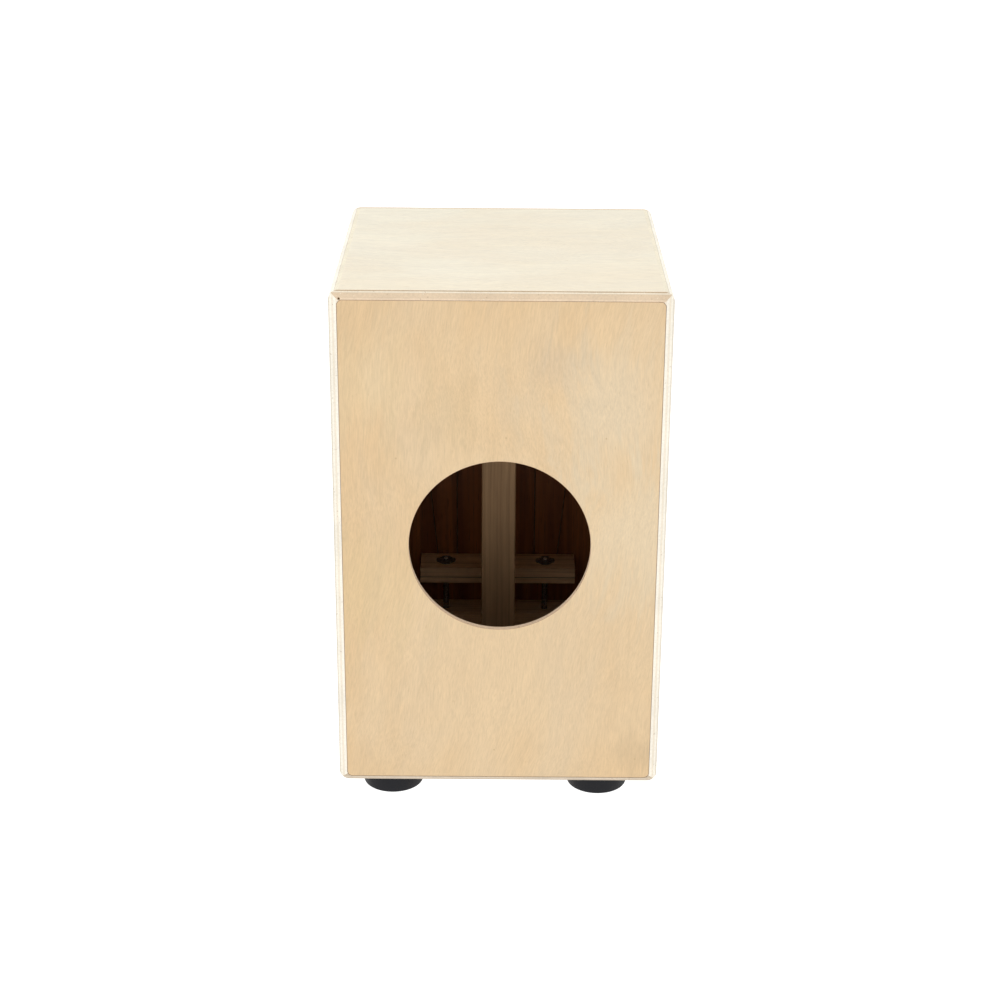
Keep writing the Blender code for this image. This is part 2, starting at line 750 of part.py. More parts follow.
def make_feet(shop, base):
    """Each foot with its screw and washer in the recess, and the pilot holes in the base."""
    washer_z = FOOT_RECESS_DEPTH - GAP - FOOT_WASHER_THICKNESS
    head_z = washer_z - GAP
    tip = FOOT_SCREW_TIP_Z - head_z
    screw_profile = [
        (0, tip),
        (FOOT_SCREW_RADIUS, tip - SCREW_POINT_LENGTH),
        (FOOT_SCREW_RADIUS, 0),
        (FOOT_SCREW_HEAD_RADIUS, 0),
        (FOOT_SCREW_HEAD_RADIUS, -FOOT_SCREW_HEAD_HEIGHT * 0.5),
        (FOOT_SCREW_HEAD_RADIUS * 0.7, -FOOT_SCREW_HEAD_HEIGHT),
        (0, -FOOT_SCREW_HEAD_HEIGHT),
    ]
    washer_profile = ring_profile(
        FOOT_WASHER_RADIUS, FOOT_SCREW_RADIUS + GAP, FOOT_WASHER_THICKNESS
    )
    holes = shop.cutter_group("foot_screw_holes")
    hole_low = BASE_Z - OVERRUN
    hole_mesh = rod_mesh(
        "foot_screw_hole",
        FOOT_SCREW_RADIUS + GAP,
        FOOT_SCREW_TIP_Z + GAP - hole_low,
        SMALL_STEPS,
    )
    for name, (x, y) in foot_places().items():
        foot = shop.piece(
            f"{name}_foot", profile_mesh("foot", foot_profile(), closed=True), RUBBER, (x, y, 0)
        )
        turn(foot, ROUND_STEPS)
        screw_mesh = profile_mesh("foot_screw", screw_profile, closed=False)
        screw = shop.piece(f"{name}_foot_screw", screw_mesh, ZINC, (x, y, head_z))
        turn(screw, SMALL_STEPS)
        washer_mesh = profile_mesh("foot_washer", washer_profile, closed=True)
        washer = shop.piece(f"{name}_foot_washer", washer_mesh, ZINC, (x, y, washer_z))
        turn(washer, SMALL_STEPS)
        shop.cutter(f"{name}_foot_screw_hole", hole_mesh, (x, y, hole_low), group=holes)
    cut(base, holes, "Foot screw holes")


def smooth_round_pieces(shop):
    for obj in shop.parts.objects:
        if obj.type == "MESH" and any(m.type == "SCREW" for m in obj.modifiers):
            obj.data.shade_smooth()


def main():
    clear_scene()
    shop = Workshop()
    base = make_box(shop)
    make_post(shop)
    make_snare(shop, base)
    make_feet(shop, base)
    smooth_round_pieces(shop)


main()
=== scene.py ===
"""Looks of the string cajon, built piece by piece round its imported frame.

Metres, +Z up, in the frame of the CAD part. The tapa faces -Y and the sound hole +Y.
"""

import json
import math

import bmesh
import bpy
from mathutils import Matrix, Vector


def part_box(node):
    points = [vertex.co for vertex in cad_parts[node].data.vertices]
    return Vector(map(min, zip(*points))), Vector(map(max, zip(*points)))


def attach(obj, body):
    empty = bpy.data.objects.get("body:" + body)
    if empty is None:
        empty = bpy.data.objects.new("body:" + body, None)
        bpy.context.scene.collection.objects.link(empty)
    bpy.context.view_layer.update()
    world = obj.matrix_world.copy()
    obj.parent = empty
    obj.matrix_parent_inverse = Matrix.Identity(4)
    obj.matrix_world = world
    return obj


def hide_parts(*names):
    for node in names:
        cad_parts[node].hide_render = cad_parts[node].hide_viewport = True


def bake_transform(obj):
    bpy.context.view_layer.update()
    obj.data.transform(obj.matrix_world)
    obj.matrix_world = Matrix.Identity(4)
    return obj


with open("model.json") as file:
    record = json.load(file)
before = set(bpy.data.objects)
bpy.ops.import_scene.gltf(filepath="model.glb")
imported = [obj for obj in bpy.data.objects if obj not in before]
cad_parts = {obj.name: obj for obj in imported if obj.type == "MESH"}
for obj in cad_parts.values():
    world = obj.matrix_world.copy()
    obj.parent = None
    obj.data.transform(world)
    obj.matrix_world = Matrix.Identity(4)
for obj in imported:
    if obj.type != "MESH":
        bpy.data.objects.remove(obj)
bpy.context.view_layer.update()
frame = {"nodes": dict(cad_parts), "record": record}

# ---- sizes ----

# Taken from the frame
tapa_low, tapa_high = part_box("tapa")
rear_low, rear_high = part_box("rear_panel")
seat_low, seat_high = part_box("seat_panel")
base_low, base_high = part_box("base_panel")
side_low, side_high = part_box("right_side_panel")

HALF_WIDTH = tapa_high.x
BASE_Z = tapa_low.z
TOP_Z = tapa_high.z
FRONT_Y = tapa_low.y
TAPA_INNER_Y = tapa_high.y
REAR_Y = rear_high.y
REAR_INNER_Y = rear_low.y
SIDE_INNER_X = side_low.x
CEILING_Z = seat_low.z
FLOOR_Z = base_high.z

# The box and its joints
EDGE_RADIUS = 0.009
REBATE_WIDTH = 0.006
REAR_CORNER_RADIUS = 0.005
SOUND_HOLE_RADIUS = 0.0825
SOUND_HOLE_Z = (BASE_Z + TOP_Z) / 2
SEAM = 0.00004  # between two walls at their mitre
REAR_GAP = 0.0002  # round the rear panel in its rebate
REBATE_GAP = 0.0003  # behind it
GRAIN_LEAN = 0.11  # radians

# How finely shapes are made, and with what margins
CORNER_STEPS = 14
HOLE_STEPS = 192
OVERRUN = 0.003  # of a cutter past what it cuts
FLAT = 0.9999  # least share of a face's normal along an axis, for a face square to it

# Round pieces and their holes
BOLT_RADIUS = 0.003
BOLT_HOLE_RADIUS = 0.0036
BOLT_HEAD_HEIGHT = 0.005
BOLT_CHAMFER = 0.0006
BOLT_THREAD_LENGTH = 0.050
BOLT_THREAD_PITCH = 0.001
BOLT_THREAD_DEPTH = 0.00055
HEX_SOCKET_RADIUS = 0.0023
HEX_SOCKET_DEPTH = 0.0028
BOLT_WASHER_BORE = 0.0033
NUT_BORE_RADIUS = 0.0033
NUT_BARREL_RADIUS = 0.0039
NUT_HOLE_RADIUS = 0.0041
NUT_FLANGE_THICKNESS = 0.0012
CLAW_COUNT = 4
CLAW_HALF_WIDTH = 0.0015
CLAW_LENGTH = 0.0048
CLAW_THICKNESS = 0.0009
STRING_RADIUS = 0.0006
STRING_EYE_RADIUS = 0.0024
STRING_EYE_STEPS = 27
STRING_STEPS = 120
STRING_PRESS_LENGTH = 0.020
STRING_PILOT_RADIUS = 0.0017
STRING_PILOT_LENGTH = 0.022
FOOT_SCREW_HOLE_RADIUS = 0.0024
FOOT_WASHER_BORE = 0.0023
FOOT_RECESS_RADIUS = 0.009
FOOT_RECESS_DEPTH = 0.009
FOOT_EDGE_RADIUS = 0.0022
WOOD_THREAD_PITCH = 0.0013
BAR_GLUE_DEPTH = 0.0105

# Widths of the eased arrises
WALL_EASE = 0.00022
REAR_EASE = 0.0004
TAPA_EASE = 0.0003
TIMBER_EASE = 0.0012
POST_EASE = 0.0015
NUT_EASE = 0.00015

SIDES = ("left", "right")
CORNERS = ("front_left", "front_right", "rear_left", "rear_right")
STRINGS = ("left_outer", "left_inner", "right_inner", "right_outer")
UP = (0, 0, 1)

# What the pieces ride on
BODY_OF = {
    node: body for body, nodes in frame["record"]["behaviour"]["bodies"].items() for node in nodes
}


# ---- colours, linear ----

BIRCH = {"warm": (0.678, 0.480, 0.266), "pale": (0.697, 0.516, 0.306), "grey": (0.652, 0.504, 0.324)}
# A lighter, creamier copy of the birch for the seat's top: partly a paler veneer, partly painted light
# and sheen on the top.
SEAT_BIRCH_LIT = {"warm": (0.83, 0.74, 0.57), "pale": (0.85, 0.79, 0.635), "grey": (0.80, 0.73, 0.59)}
BARE_BIRCH = {"warm": (0.48, 0.34, 0.20), "pale": (0.54, 0.40, 0.25), "grey": (0.42, 0.31, 0.20)}
PORE_SHADE = (0.50, 0.34, 0.18)
TAPA_LIGHT = (0.40, 0.14, 0.042)
TAPA_DARK = (0.22, 0.07, 0.022)
POST_LIGHT = (0.40, 0.245, 0.125)
POST_DARK = (0.30, 0.175, 0.085)
BEAM_LIGHT = (0.80, 0.56, 0.345)
BEAM_DARK = (0.62, 0.41, 0.235)
RUBBER = (0.0098, 0.0103, 0.0132)
GLUE = (0.30, 0.19, 0.10)
FLECK = (0.90, 0.86, 0.74)
# The strings' dark brown is painted shade: the string and its shadow on the tapa read as a dark line.
SHADED_STRING_DARK = (0.15, 0.090, 0.058)
SHADED_STRING_LIGHT = (0.23, 0.150, 0.100)
FLOOR_GREY = (0.22, 0.22, 0.22)

# Each metal's bright and dull patches, with its roughness
ZINC = ((0.62, 0.62, 0.60), (0.38, 0.38, 0.37), 0.34)
# A darker copy of the zinc for the bolts' shanks: painted shade.
SHADED_ZINC = ((0.42, 0.42, 0.41), (0.20, 0.20, 0.195), 0.30)
DARK_ZINC = ((0.31, 0.32, 0.29), (0.14, 0.145, 0.13), 0.36)
# Near-white steel for the bolts' tips: partly a rubbed bare end, partly a painted highlight.
BARE_STEEL_HIGHLIGHT = ((0.88, 0.88, 0.85), (0.66, 0.66, 0.64), 0.34)

# Each ply's first depth under the face, with its colour
SEAT_PLIES = (
    (0.0, (0.46, 0.33, 0.20)),
    (0.0009, (0.80, 0.71, 0.56)),
    (0.0024, (0.68, 0.53, 0.365)),
    (0.0070, (0.74, 0.58, 0.41)),
    (0.0126, (0.80, 0.69, 0.53)),
    (0.0141, (0.42, 0.30, 0.18)),
)
ROUNDOVER_PLIES = (
    (0.0, (0.86, 0.79, 0.62)),
    (0.0008, (0.96, 0.91, 0.79)),
)
SIDE_PLIES = (
    (0.0, (0.72, 0.66, 0.55)),
    (0.0010, (0.90, 0.84, 0.72)),
    (0.0032, (0.87, 0.78, 0.63)),
    (0.0044, (0.91, 0.85, 0.73)),
    (0.0070, (0.87, 0.77, 0.62)),
    (0.0110, (0.90, 0.82, 0.68)),
    (0.0122, (0.60, 0.48, 0.34)),
)
BASE_PLIES = (
    (0.0, (0.56, 0.47, 0.36)),
    (0.0010, (0.65, 0.55, 0.43)),
    (0.0026, (0.59, 0.48, 0.35)),
    (0.0056, (0.65, 0.55, 0.43)),
)
# The first, brown ply is the arris: partly the face veneer's edge, partly painted shade for the thin
# gap round the panel.
REAR_PLIES = (
    (0.0, (0.60, 0.41, 0.25)),
    (0.0008, (0.98, 0.77, 0.56)),
    (0.0022, (0.94, 0.70, 0.49)),
    (0.0037, (0.98, 0.76, 0.55)),
    (0.0053, (0.56, 0.38, 0.23)),
)
TAPA_PLIES = ((0.0, TAPA_LIGHT), (0.0005, (0.80, 0.66, 0.46)), (0.0027, (0.62, 0.47, 0.30)))

# Soft marks on the rear veneer: place, radius, colour and share
REAR_MARKS = (
    ((-0.050, REAR_Y, 0.432), 0.045, (0.56, 0.44, 0.30), 0.34),
    ((-0.125, REAR_Y, 0.275), 0.100, (0.72, 0.61, 0.43), 0.50),
    ((-0.100, REAR_Y, 0.395), 0.090, (0.70, 0.59, 0.42), 0.45),
    ((0.115, REAR_Y, 0.415), 0.070, (0.72, 0.57, 0.34), 0.35),
    ((0.048, REAR_Y, 0.385), 0.055, (0.60, 0.44, 0.24), 0.28),
    ((0.125, REAR_Y, 0.220), 0.090, (0.66, 0.50, 0.26), 0.35),
    ((-0.135, REAR_Y, 0.050), 0.030, (0.52, 0.38, 0.22), 0.30),
    ((0.138, REAR_Y, 0.470), 0.035, (0.58, 0.42, 0.24), 0.25),
)

# Small dark specks on it, as (x, z)
REAR_SPECKS = (
    (0.093, 0.345),
    (-0.005, 0.365),
    (-0.094, 0.365),
    (0.068, 0.297),
    (0.004, 0.052),
    (-0.129, 0.043),
)
SPECK_RADIUS = 0.0013


# ---- node materials ----


class Shader:
    """A material with one Principled shader, wired a step at a time."""

    def __init__(self, name, roughness=0.5, metallic=0.0):
        self.material = bpy.data.materials.new(name)
        self.material.use_nodes = True
        self.tree = self.material.node_tree
        self.surface = self.tree.nodes["Principled BSDF"]
        self.surface.inputs["Roughness"].default_value = roughness
        self.surface.inputs["Metallic"].default_value = metallic
        self.place = self.tree.nodes.new("ShaderNodeTexCoord").outputs["Object"]

    def node(self, kind, inputs=None, **settings):
        made = self.tree.nodes.new("ShaderNode" + kind)
        for name, value in settings.items():
            setattr(made, name, value)
        for name, value in (inputs or {}).items():
            self.feed(made.inputs[name], value)
        return made

    def feed(self, socket, value):
        if isinstance(value, bpy.types.NodeSocket):
            self.tree.links.new(value, socket)
        elif isinstance(value, tuple) and len(value) == 3 and socket.type == "RGBA":
            socket.default_value = (*value, 1.0)
        else:
            socket.default_value = value

    def math(self, operation, first, second=None):
        made = self.node("Math", {0: first}, operation=operation)
        if second is not None:
            self.feed(made.inputs[1], second)
        return made.outputs[0]

    def span(self, value, low, high, to_low=0.0, to_high=1.0):
        """The value mapped smoothly from low..high to to_low..to_high, and clamped."""
        inputs = {
            "Value": value,
            "From Min": low,
            "From Max": high,
            "To Min": to_low,
            "To Max": to_high,
        }
        return self.node("MapRange", inputs, interpolation_type="SMOOTHSTEP").outputs["Result"]

    def mix(self, share, first, second):
        made = self.node("Mix", data_type="RGBA")
        self.feed(made.inputs["Factor"], share)
        self.feed(made.inputs[6], first)
        self.feed(made.inputs[7], second)
        return made.outputs[2]

    def scaled(self, vector, scale):
        return self.node("Mapping", {"Vector": vector, "Scale": scale}).outputs[0]

    def stretched(self, scale):
        """The piece's coordinates, scaled."""
        return self.scaled(self.place, scale)

    def flow(self, rotation, bend, pace):
        """The piece's coordinates, turned and then bent sideways by a slow noise."""
        turned = self.node("Mapping", {"Vector": self.place, "Rotation": rotation}).outputs[0]
        inputs = {"Vector": turned, "Scale": pace, "Detail": 2.0, "Roughness": 0.45}
        waves = self.node("TexNoise", inputs).outputs["Color"]
        centred = self.node("VectorMath", {0: waves, 1: (0.5, 0.5, 0.5)}, operation="SUBTRACT")
        offset = self.node(
            "VectorMath", {0: centred.outputs[0], 1: (bend, bend, 0)}, operation="MULTIPLY"
        )
        return self.node("VectorMath", {0: turned, 1: offset.outputs[0]}).outputs[0]

    def shade(self, colour, value):
        """The colour made lighter or darker by a factor."""
        return self.node("VectorMath", {0: colour, "Scale": value}, operation="SCALE").outputs[0]

    def near(self, place, radius, share, wander=None):
        """A share that fades out round a point."""
        distance = self.node("VectorMath", {0: self.place, 1: place}, operation="DISTANCE")
        distance = distance.outputs["Value"]
        if wander is not None:
            distance = self.math("MULTIPLY", distance, self.span(wander, 0.3, 0.7, 0.65, 1.5))
        return self.span(distance, radius * 0.1, radius, share, 0.0)

    def noise(self, vector, detail=2.0, roughness=0.5, distortion=0.0):
        inputs = {
            "Vector": vector,
            "Scale": 1.0,
            "Detail": detail,
            "Roughness": roughness,
            "Distortion": distortion,
        }
        return self.node("TexNoise", inputs).outputs["Fac"]

    def coordinate(self, axis):
        return self.node("SeparateXYZ", {"Vector": self.place}).outputs["XYZ".index(axis)]

    def bump(self, height, strength, distance):
        inputs = {"Height": height, "Strength": strength, "Distance": distance}
        made = self.node("Bump", inputs)
        self.feed(self.surface.inputs["Normal"], made.outputs[0])

    def roughness(self, value):
        self.feed(self.surface.inputs["Roughness"], value)

    def colour(self, value):
        self.feed(self.surface.inputs["Base Color"], value)
        return self.material


def scaled_colour(colour, factor):
    return tuple(factor * channel for channel in colour)


# How a piece's coordinates turn so that its grain runs along the local Z
ALONG = {"X": (0, math.pi / 2, 0), "Z": (0, 0, 0)}


def veneer(name, along, tones, roughness=0.42, lean=0.0, marks=(), specks=()):
    """Rotary-cut birch: soft clouds, a wavy figure, short fibres and fine pores along the grain."""
    shader = Shader(name, roughness)
    turn = tuple(Vector(ALONG[along]) + Vector((0, lean, 0)))
    flow = shader.flow(turn, 0.09, 3.2)
    clouds = shader.noise(shader.scaled(flow, (9, 9, 5)), 3.0, 0.55)
    veil = shader.noise(shader.scaled(flow, (16, 16, 4.5)), 3.0, 0.6, 0.5)
    figure = shader.noise(shader.scaled(flow, (70, 70, 12)), 3.0, 0.6, 0.9)
    fibres = shader.noise(shader.scaled(flow, (720, 720, 110)), 2.0, 0.65)
    hairs = shader.noise(shader.scaled(flow, (1500, 1500, 60)), 1.0, 0.5)
    pores = shader.noise(shader.scaled(flow, (900, 900, 160)), 1.0, 0.5)
    swell = shader.noise(shader.scaled(flow, (13, 13, 1.9)), 2.0, 0.5, 0.3)
    rings = shader.math("SINE", shader.math("MULTIPLY", swell, 160.0))
    colour = shader.mix(shader.span(clouds, 0.36, 0.64), tones["warm"], tones["pale"])
    colour = shader.mix(shader.span(veil, 0.44, 0.74, 0.0, 0.5), colour, tones["grey"])
    for place, radius, tone, share in marks:
        colour = shader.mix(shader.near(place, radius, share, figure), colour, tone)
    colour = shader.shade(colour, shader.span(figure, 0.30, 0.70, 0.978, 1.022))
    colour = shader.shade(colour, shader.span(rings, 0.0, 1.0, 1.0, 0.980))
    colour = shader.shade(colour, shader.span(fibres, 0.28, 0.72, 0.960, 1.040))
    colour = shader.shade(colour, shader.span(hairs, 0.30, 0.70, 0.964, 1.036))
    colour = shader.mix(shader.span(pores, 0.64, 0.80, 0.0, 0.28), colour, PORE_SHADE)
    for x, z in specks:
        colour = shader.mix(shader.near((x, REAR_Y, z), SPECK_RADIUS, 0.75), colour, PORE_SHADE)
    shader.bump(fibres, 0.10, 0.0002)
    shader.roughness(shader.span(fibres, 0.3, 0.7, roughness - 0.05, roughness + 0.07))
    return shader.colour(colour)


def ply_edge(name, axis, surface, inward, plies, glue_share=0.35):
    """The sawn edge of plywood: plies parallel to the face at that coordinate, and glue lines."""
    shader = Shader(name, 0.55)
    speckle = shader.noise(shader.stretched((480, 480, 480)), 3.0, 0.7)
    drift = shader.noise(shader.stretched((30, 30, 30)), 2.0)
    depth = shader.math("MULTIPLY", shader.math("SUBTRACT", shader.coordinate(axis), surface), inward)
    wander = shader.math("MULTIPLY", shader.math("SUBTRACT", drift, 0.5), 0.0005)
    level = shader.math("ADD", depth, wander)
    colour = plies[0][1]
    for start, tone in plies[1:]:
        colour = shader.mix(shader.span(level, start - 0.00012, start + 0.00012), colour, tone)
        away = shader.math("ABSOLUTE", shader.math("SUBTRACT", level, start))
        line = shader.span(away, 0.00006, 0.0002, glue_share, 0.0)
        patchy = shader.math("MULTIPLY", line, shader.span(speckle, 0.35, 0.60, 0.3, 1.0))
        colour = shader.mix(patchy, colour, GLUE)
    colour = shader.shade(colour, shader.span(speckle, 0.30, 0.70, 0.92, 1.06))
    colour = shader.shade(colour, shader.span(drift, 0.30, 0.70, 0.95, 1.04))
    voids = shader.noise(shader.stretched((420, 420, 420)), 1.0)
    colour = shader.mix(shader.span(voids, 0.66, 0.76, 0.0, 0.40), colour, GLUE)
    colour = shader.mix(shader.span(voids, 0.30, 0.22, 0.0, 0.45), colour, FLECK)
    shader.bump(speckle, 0.15, 0.0002)
    return shader.colour(colour)


def timber_material(name, along, light, dark, glue_z=None):
    """Planed softwood: growth rings as lines along the grain, and a glue line at a height."""
    shader = Shader(name, 0.62)
    shader.surface.inputs["Specular IOR Level"].default_value = 0.2
    flow = shader.flow(ALONG[along], 0.006, 6.0)
    rings = shader.noise(shader.scaled(flow, (420, 210, 3.0)), 1.0, 0.5)
    bands = shader.noise(shader.scaled(flow, (105, 105, 2.0)), 2.0)
    fibres = shader.noise(shader.scaled(flow, (1200, 1200, 40)), 2.0, 0.6)
    clouds = shader.noise(shader.scaled(flow, (40, 40, 12)), 2.0)
    colour = shader.mix(shader.span(rings, 0.42, 0.66, 0.0, 0.75), light, dark)
    colour = shader.mix(shader.span(bands, 0.45, 0.70, 0.0, 0.35), colour, dark)
    colour = shader.shade(colour, shader.span(clouds, 0.30, 0.70, 0.93, 1.06))
    colour = shader.shade(colour, shader.span(fibres, 0.30, 0.70, 0.94, 1.05))
    if glue_z is not None:
        away = shader.math("ABSOLUTE", shader.math("SUBTRACT", shader.coordinate("Z"), glue_z))
        line = shader.span(away, 0.0003, 0.0008, 0.75, 0.0)
        colour = shader.mix(line, colour, scaled_colour(dark, 0.3))
    shader.bump(fibres, 0.2, 0.0002)
    return shader.colour(colour)


def tapa_material():
    """Reddish-brown figured veneer, with its grain upright."""
    shader = Shader("tapa_figured_veneer", 0.40)
    flame = shader.noise(shader.stretched((48, 48, 1.6)), 3.0, 0.6, 1.4)
    stripe = shader.noise(shader.stretched((190, 190, 3.0)), 3.0, 0.6)
    pores = shader.noise(shader.stretched((700, 700, 45)), 1.0)
    colour = shader.mix(shader.span(flame, 0.34, 0.66), TAPA_LIGHT, TAPA_DARK)
    colour = shader.mix(shader.span(stripe, 0.45, 0.70, 0.0, 0.5), colour, TAPA_DARK)
    colour = shader.mix(shader.span(pores, 0.62, 0.74, 0.0, 0.5), colour, scaled_colour(TAPA_DARK, 0.4))
    shader.bump(stripe, 0.12, 0.0002)
    return shader.colour(colour)


def rubber_material():
    """Matt black rubber, a little greyer in random patches: partly scuffing, partly a painted sheen."""
    shader = Shader("moulded_rubber")
    shader.surface.inputs["Specular IOR Level"].default_value = 0.19
    grain = shader.noise(shader.stretched((900, 900, 900)), 2.0)
    scuff_and_sheen_noise = shader.noise(shader.stretched((60, 60, 60)), 3.0)
    shader.roughness(shader.span(scuff_and_sheen_noise, 0.3, 0.7, 0.45, 0.65))
    shader.bump(grain, 0.25, 0.0003)
    # Greyer patches: partly scuffing, partly a painted sheen.
    scuff_and_sheen = shader.span(scuff_and_sheen_noise, 0.45, 0.75, 0.0, 0.7)
    return shader.colour(shader.mix(scuff_and_sheen, RUBBER, scaled_colour(RUBBER, 1.6)))


def metal_material(name, bright, dull, roughness):
    """Steel, plated or bare, with small dull patches."""
    shader = Shader(name, roughness, 1.0)
    patches = shader.noise(shader.stretched((500, 500, 500)), 3.0)
    shader.roughness(shader.span(patches, 0.3, 0.7, roughness - 0.06, roughness + 0.12))
    shader.bump(patches, 0.08, 0.0001)
    return shader.colour(shader.mix(shader.span(patches, 0.40, 0.72), bright, dull))


def wound_string_material():
    """Steel string with a fine winding, darkened to a dark brown: painted shade for its dim look and
    its shadow on the tapa.
    """
    shader = Shader("wound_string", 0.5, 0.7)
    inputs = {"Vector": shader.place, "Scale": 700.0}
    winding = shader.node("TexWave", inputs, bands_direction="Z").outputs["Fac"]
    tone = shader.noise(shader.stretched((90, 90, 90)), 2.0)
    shader.bump(winding, 0.5, 0.0002)
    return shader.colour(shader.mix(shader.span(tone, 0.3, 0.7), SHADED_STRING_DARK, SHADED_STRING_LIGHT))


# ---- shapes ----


def arc(centre_x, centre_z, radius, start, end, steps=CORNER_STEPS):
    """Points along an arc, its angles in degrees."""
    angles = [math.radians(start + (end - start) * i / steps) for i in range(steps + 1)]
    return [(centre_x + radius * math.cos(a), centre_z + radius * math.sin(a)) for a in angles]


def circle(centre_x, centre_z, radius, steps):
    return arc(centre_x, centre_z, radius, 0, 360, steps)[:-1]


def rounded_rectangle(left, bottom, right, top, radius):
    return (
        arc(right - radius, bottom + radius, radius, -90, 0)
        + arc(right - radius, top - radius, radius, 0, 90)
        + arc(left + radius, top - radius, radius, 90, 180)
        + arc(left + radius, bottom + radius, radius, 180, 270)
    )


def mirrored(points):
    return points + [(-x, z) for x, z in reversed(points)]


def new_piece(name, mesh):
    made = bpy.data.objects.new(name, mesh)
    bpy.context.scene.collection.objects.link(made)
    return made


def outline_solid(name, loops, low_y, high_y):
    """A solid between two depths, its outline and its holes given as closed loops in XZ."""
    curve = bpy.data.curves.new(name, "CURVE")
    curve.dimensions = "2D"
    curve.fill_mode = "BOTH"
    curve.extrude = (high_y - low_y) / 2
    for loop in loops:
        spline = curve.splines.new("POLY")
        spline.points.add(len(loop) - 1)
        for point, (x, z) in zip(spline.points, loop):
            point.co = (x, z, 0, 1)
        spline.use_cyclic_u = True
    guide = new_piece(name, curve)
    graph = bpy.context.evaluated_depsgraph_get()
    mesh = bpy.data.meshes.new_from_object(guide.evaluated_get(graph))
    bpy.data.objects.remove(guide)
    upright = Matrix.Rotation(math.pi / 2, 4, "X")
    mesh.transform(Matrix.Translation((0, (low_y + high_y) / 2, 0)) @ upright)
    tidy_faces(mesh)
    return new_piece(name, mesh)


def tidy_faces(mesh):
    """Welds loose caps and joins the triangles of each flat face."""
    work = bmesh.new()
    work.from_mesh(mesh)
    bmesh.ops.remove_doubles(work, verts=work.verts, dist=1e-6)
    bmesh.ops.dissolve_limit(work, angle_limit=math.radians(0.5), verts=work.verts, edges=work.edges)
    bmesh.ops.recalc_face_normals(work, faces=work.faces)
    work.to_mesh(mesh)
    work.free()


def carve(piece, *cutters):
    """Takes each cutter out of the piece and then removes the cutters."""
    for cutter in cutters:
        modifier = piece.modifiers.new("Cut", "BOOLEAN")
        modifier.object = cutter
    settle(piece)
    for cutter in cutters:
        bpy.data.objects.remove(cutter)
    tidy_faces(piece.data)


def settle(piece):
    """Makes the piece's modifiers part of its mesh."""
    graph = bpy.context.evaluated_depsgraph_get()
    mesh = bpy.data.meshes.new_from_object(piece.evaluated_get(graph))
    piece.modifiers.clear()
    piece.data = mesh


def rod(name, radius, length, centre, axis, steps=48):
    """A cylinder for cutting, centred on a point."""
    mesh = bpy.data.meshes.new(name)
    work = bmesh.new()
    bmesh.ops.create_cone(
        work, cap_ends=True, segments=steps, radius1=radius, radius2=radius, depth=length
    )
    turned = Vector(axis).to_track_quat("Z", "Y").to_matrix().to_4x4()
    bmesh.ops.transform(work, matrix=Matrix.Translation(centre) @ turned, verts=work.verts)
    work.to_mesh(mesh)
    work.free()
    return new_piece(name, mesh)


def block(name, low, high):
    mesh = bpy.data.meshes.new(name)
    work = bmesh.new()
    bmesh.ops.create_cube(work, size=1.0)
    size = high - low
    place = Matrix.Translation((low + high) / 2) @ Matrix.Diagonal((*size, 1.0))
    bmesh.ops.transform(work, matrix=place, verts=work.verts)
    work.to_mesh(mesh)
    work.free()
    return new_piece(name, mesh)


def soften(piece, width, segments=3, angle=30, material=-1):
    """Eased arrises, shaded smooth, with their own material if given."""
    bevel = piece.modifiers.new("Eased edges", "BEVEL")
    bevel.width = width
    bevel.segments = segments
    bevel.limit_method = "ANGLE"
    bevel.angle_limit = math.radians(angle)
    bevel.harden_normals = True
    bevel.material = material
    piece.data.shade_smooth()


def turned_mesh(name, profile, steps=48):
    """A (radius, height) profile turned about Z, which closes on its axis or on its first point."""
    mesh = bpy.data.meshes.new(name)
    work = bmesh.new()
    points = [work.verts.new((radius, 0, height)) for radius, height in profile]
    edges = [work.edges.new(pair) for pair in zip(points, points[1:])]
    if min(profile[0][0], profile[-1][0]) > 0:
        edges.append(work.edges.new((points[-1], points[0])))
    bmesh.ops.spin(
        work,
        geom=points + edges,
        cent=(0, 0, 0),
        axis=(0, 0, 1),
        angle=2 * math.pi,
        steps=steps,
        use_merge=True,
    )
    bmesh.ops.remove_doubles(work, verts=work.verts, dist=1e-7)
    bmesh.ops.recalc_face_normals(work, faces=work.faces)
    work.to_mesh(mesh)
    work.free()
    mesh.shade_smooth()
    return mesh


def stand_for(piece, *nodes):
    """The piece takes the place of those CAD nodes, on their body."""
    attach(piece, BODY_OF[nodes[0]])
    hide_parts(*nodes)


def centre_of(node):
    low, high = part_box(node)
    return (low + high) / 2


def coat_faces(piece, materials, choose):
    """Gives each face the material whose index choose(normal, centre) returns."""
    for material in materials:
        piece.data.materials.append(material)
    for face in piece.data.polygons:
        face.material_index = choose(face.normal, face.center)


# ---- the box ----


def panel_materials():
    # The seat's top takes the lighter copy of the birch, partly painted light.
    seat = veneer("seat_birch_lit", "X", SEAT_BIRCH_LIT, 0.36)
    side = veneer("side_birch", "Z", BIRCH)
    base = veneer("base_birch", "X", BIRCH)
    bare = veneer("bare_birch", "Z", BARE_BIRCH, 0.6)
    return seat, side, base, bare


def rear_outline(clearance):
    side_x = SIDE_INNER_X + REBATE_WIDTH - clearance
    bottom = FLOOR_Z - REBATE_WIDTH + clearance
    top = CEILING_Z + REBATE_WIDTH - clearance
    return rounded_rectangle(-side_x, bottom, side_x, top, REAR_CORNER_RADIUS)


def rebate_cutter():
    return outline_solid("rebate", [rear_outline(0.0)], REAR_INNER_Y - REBATE_GAP, REAR_Y + OVERRUN)


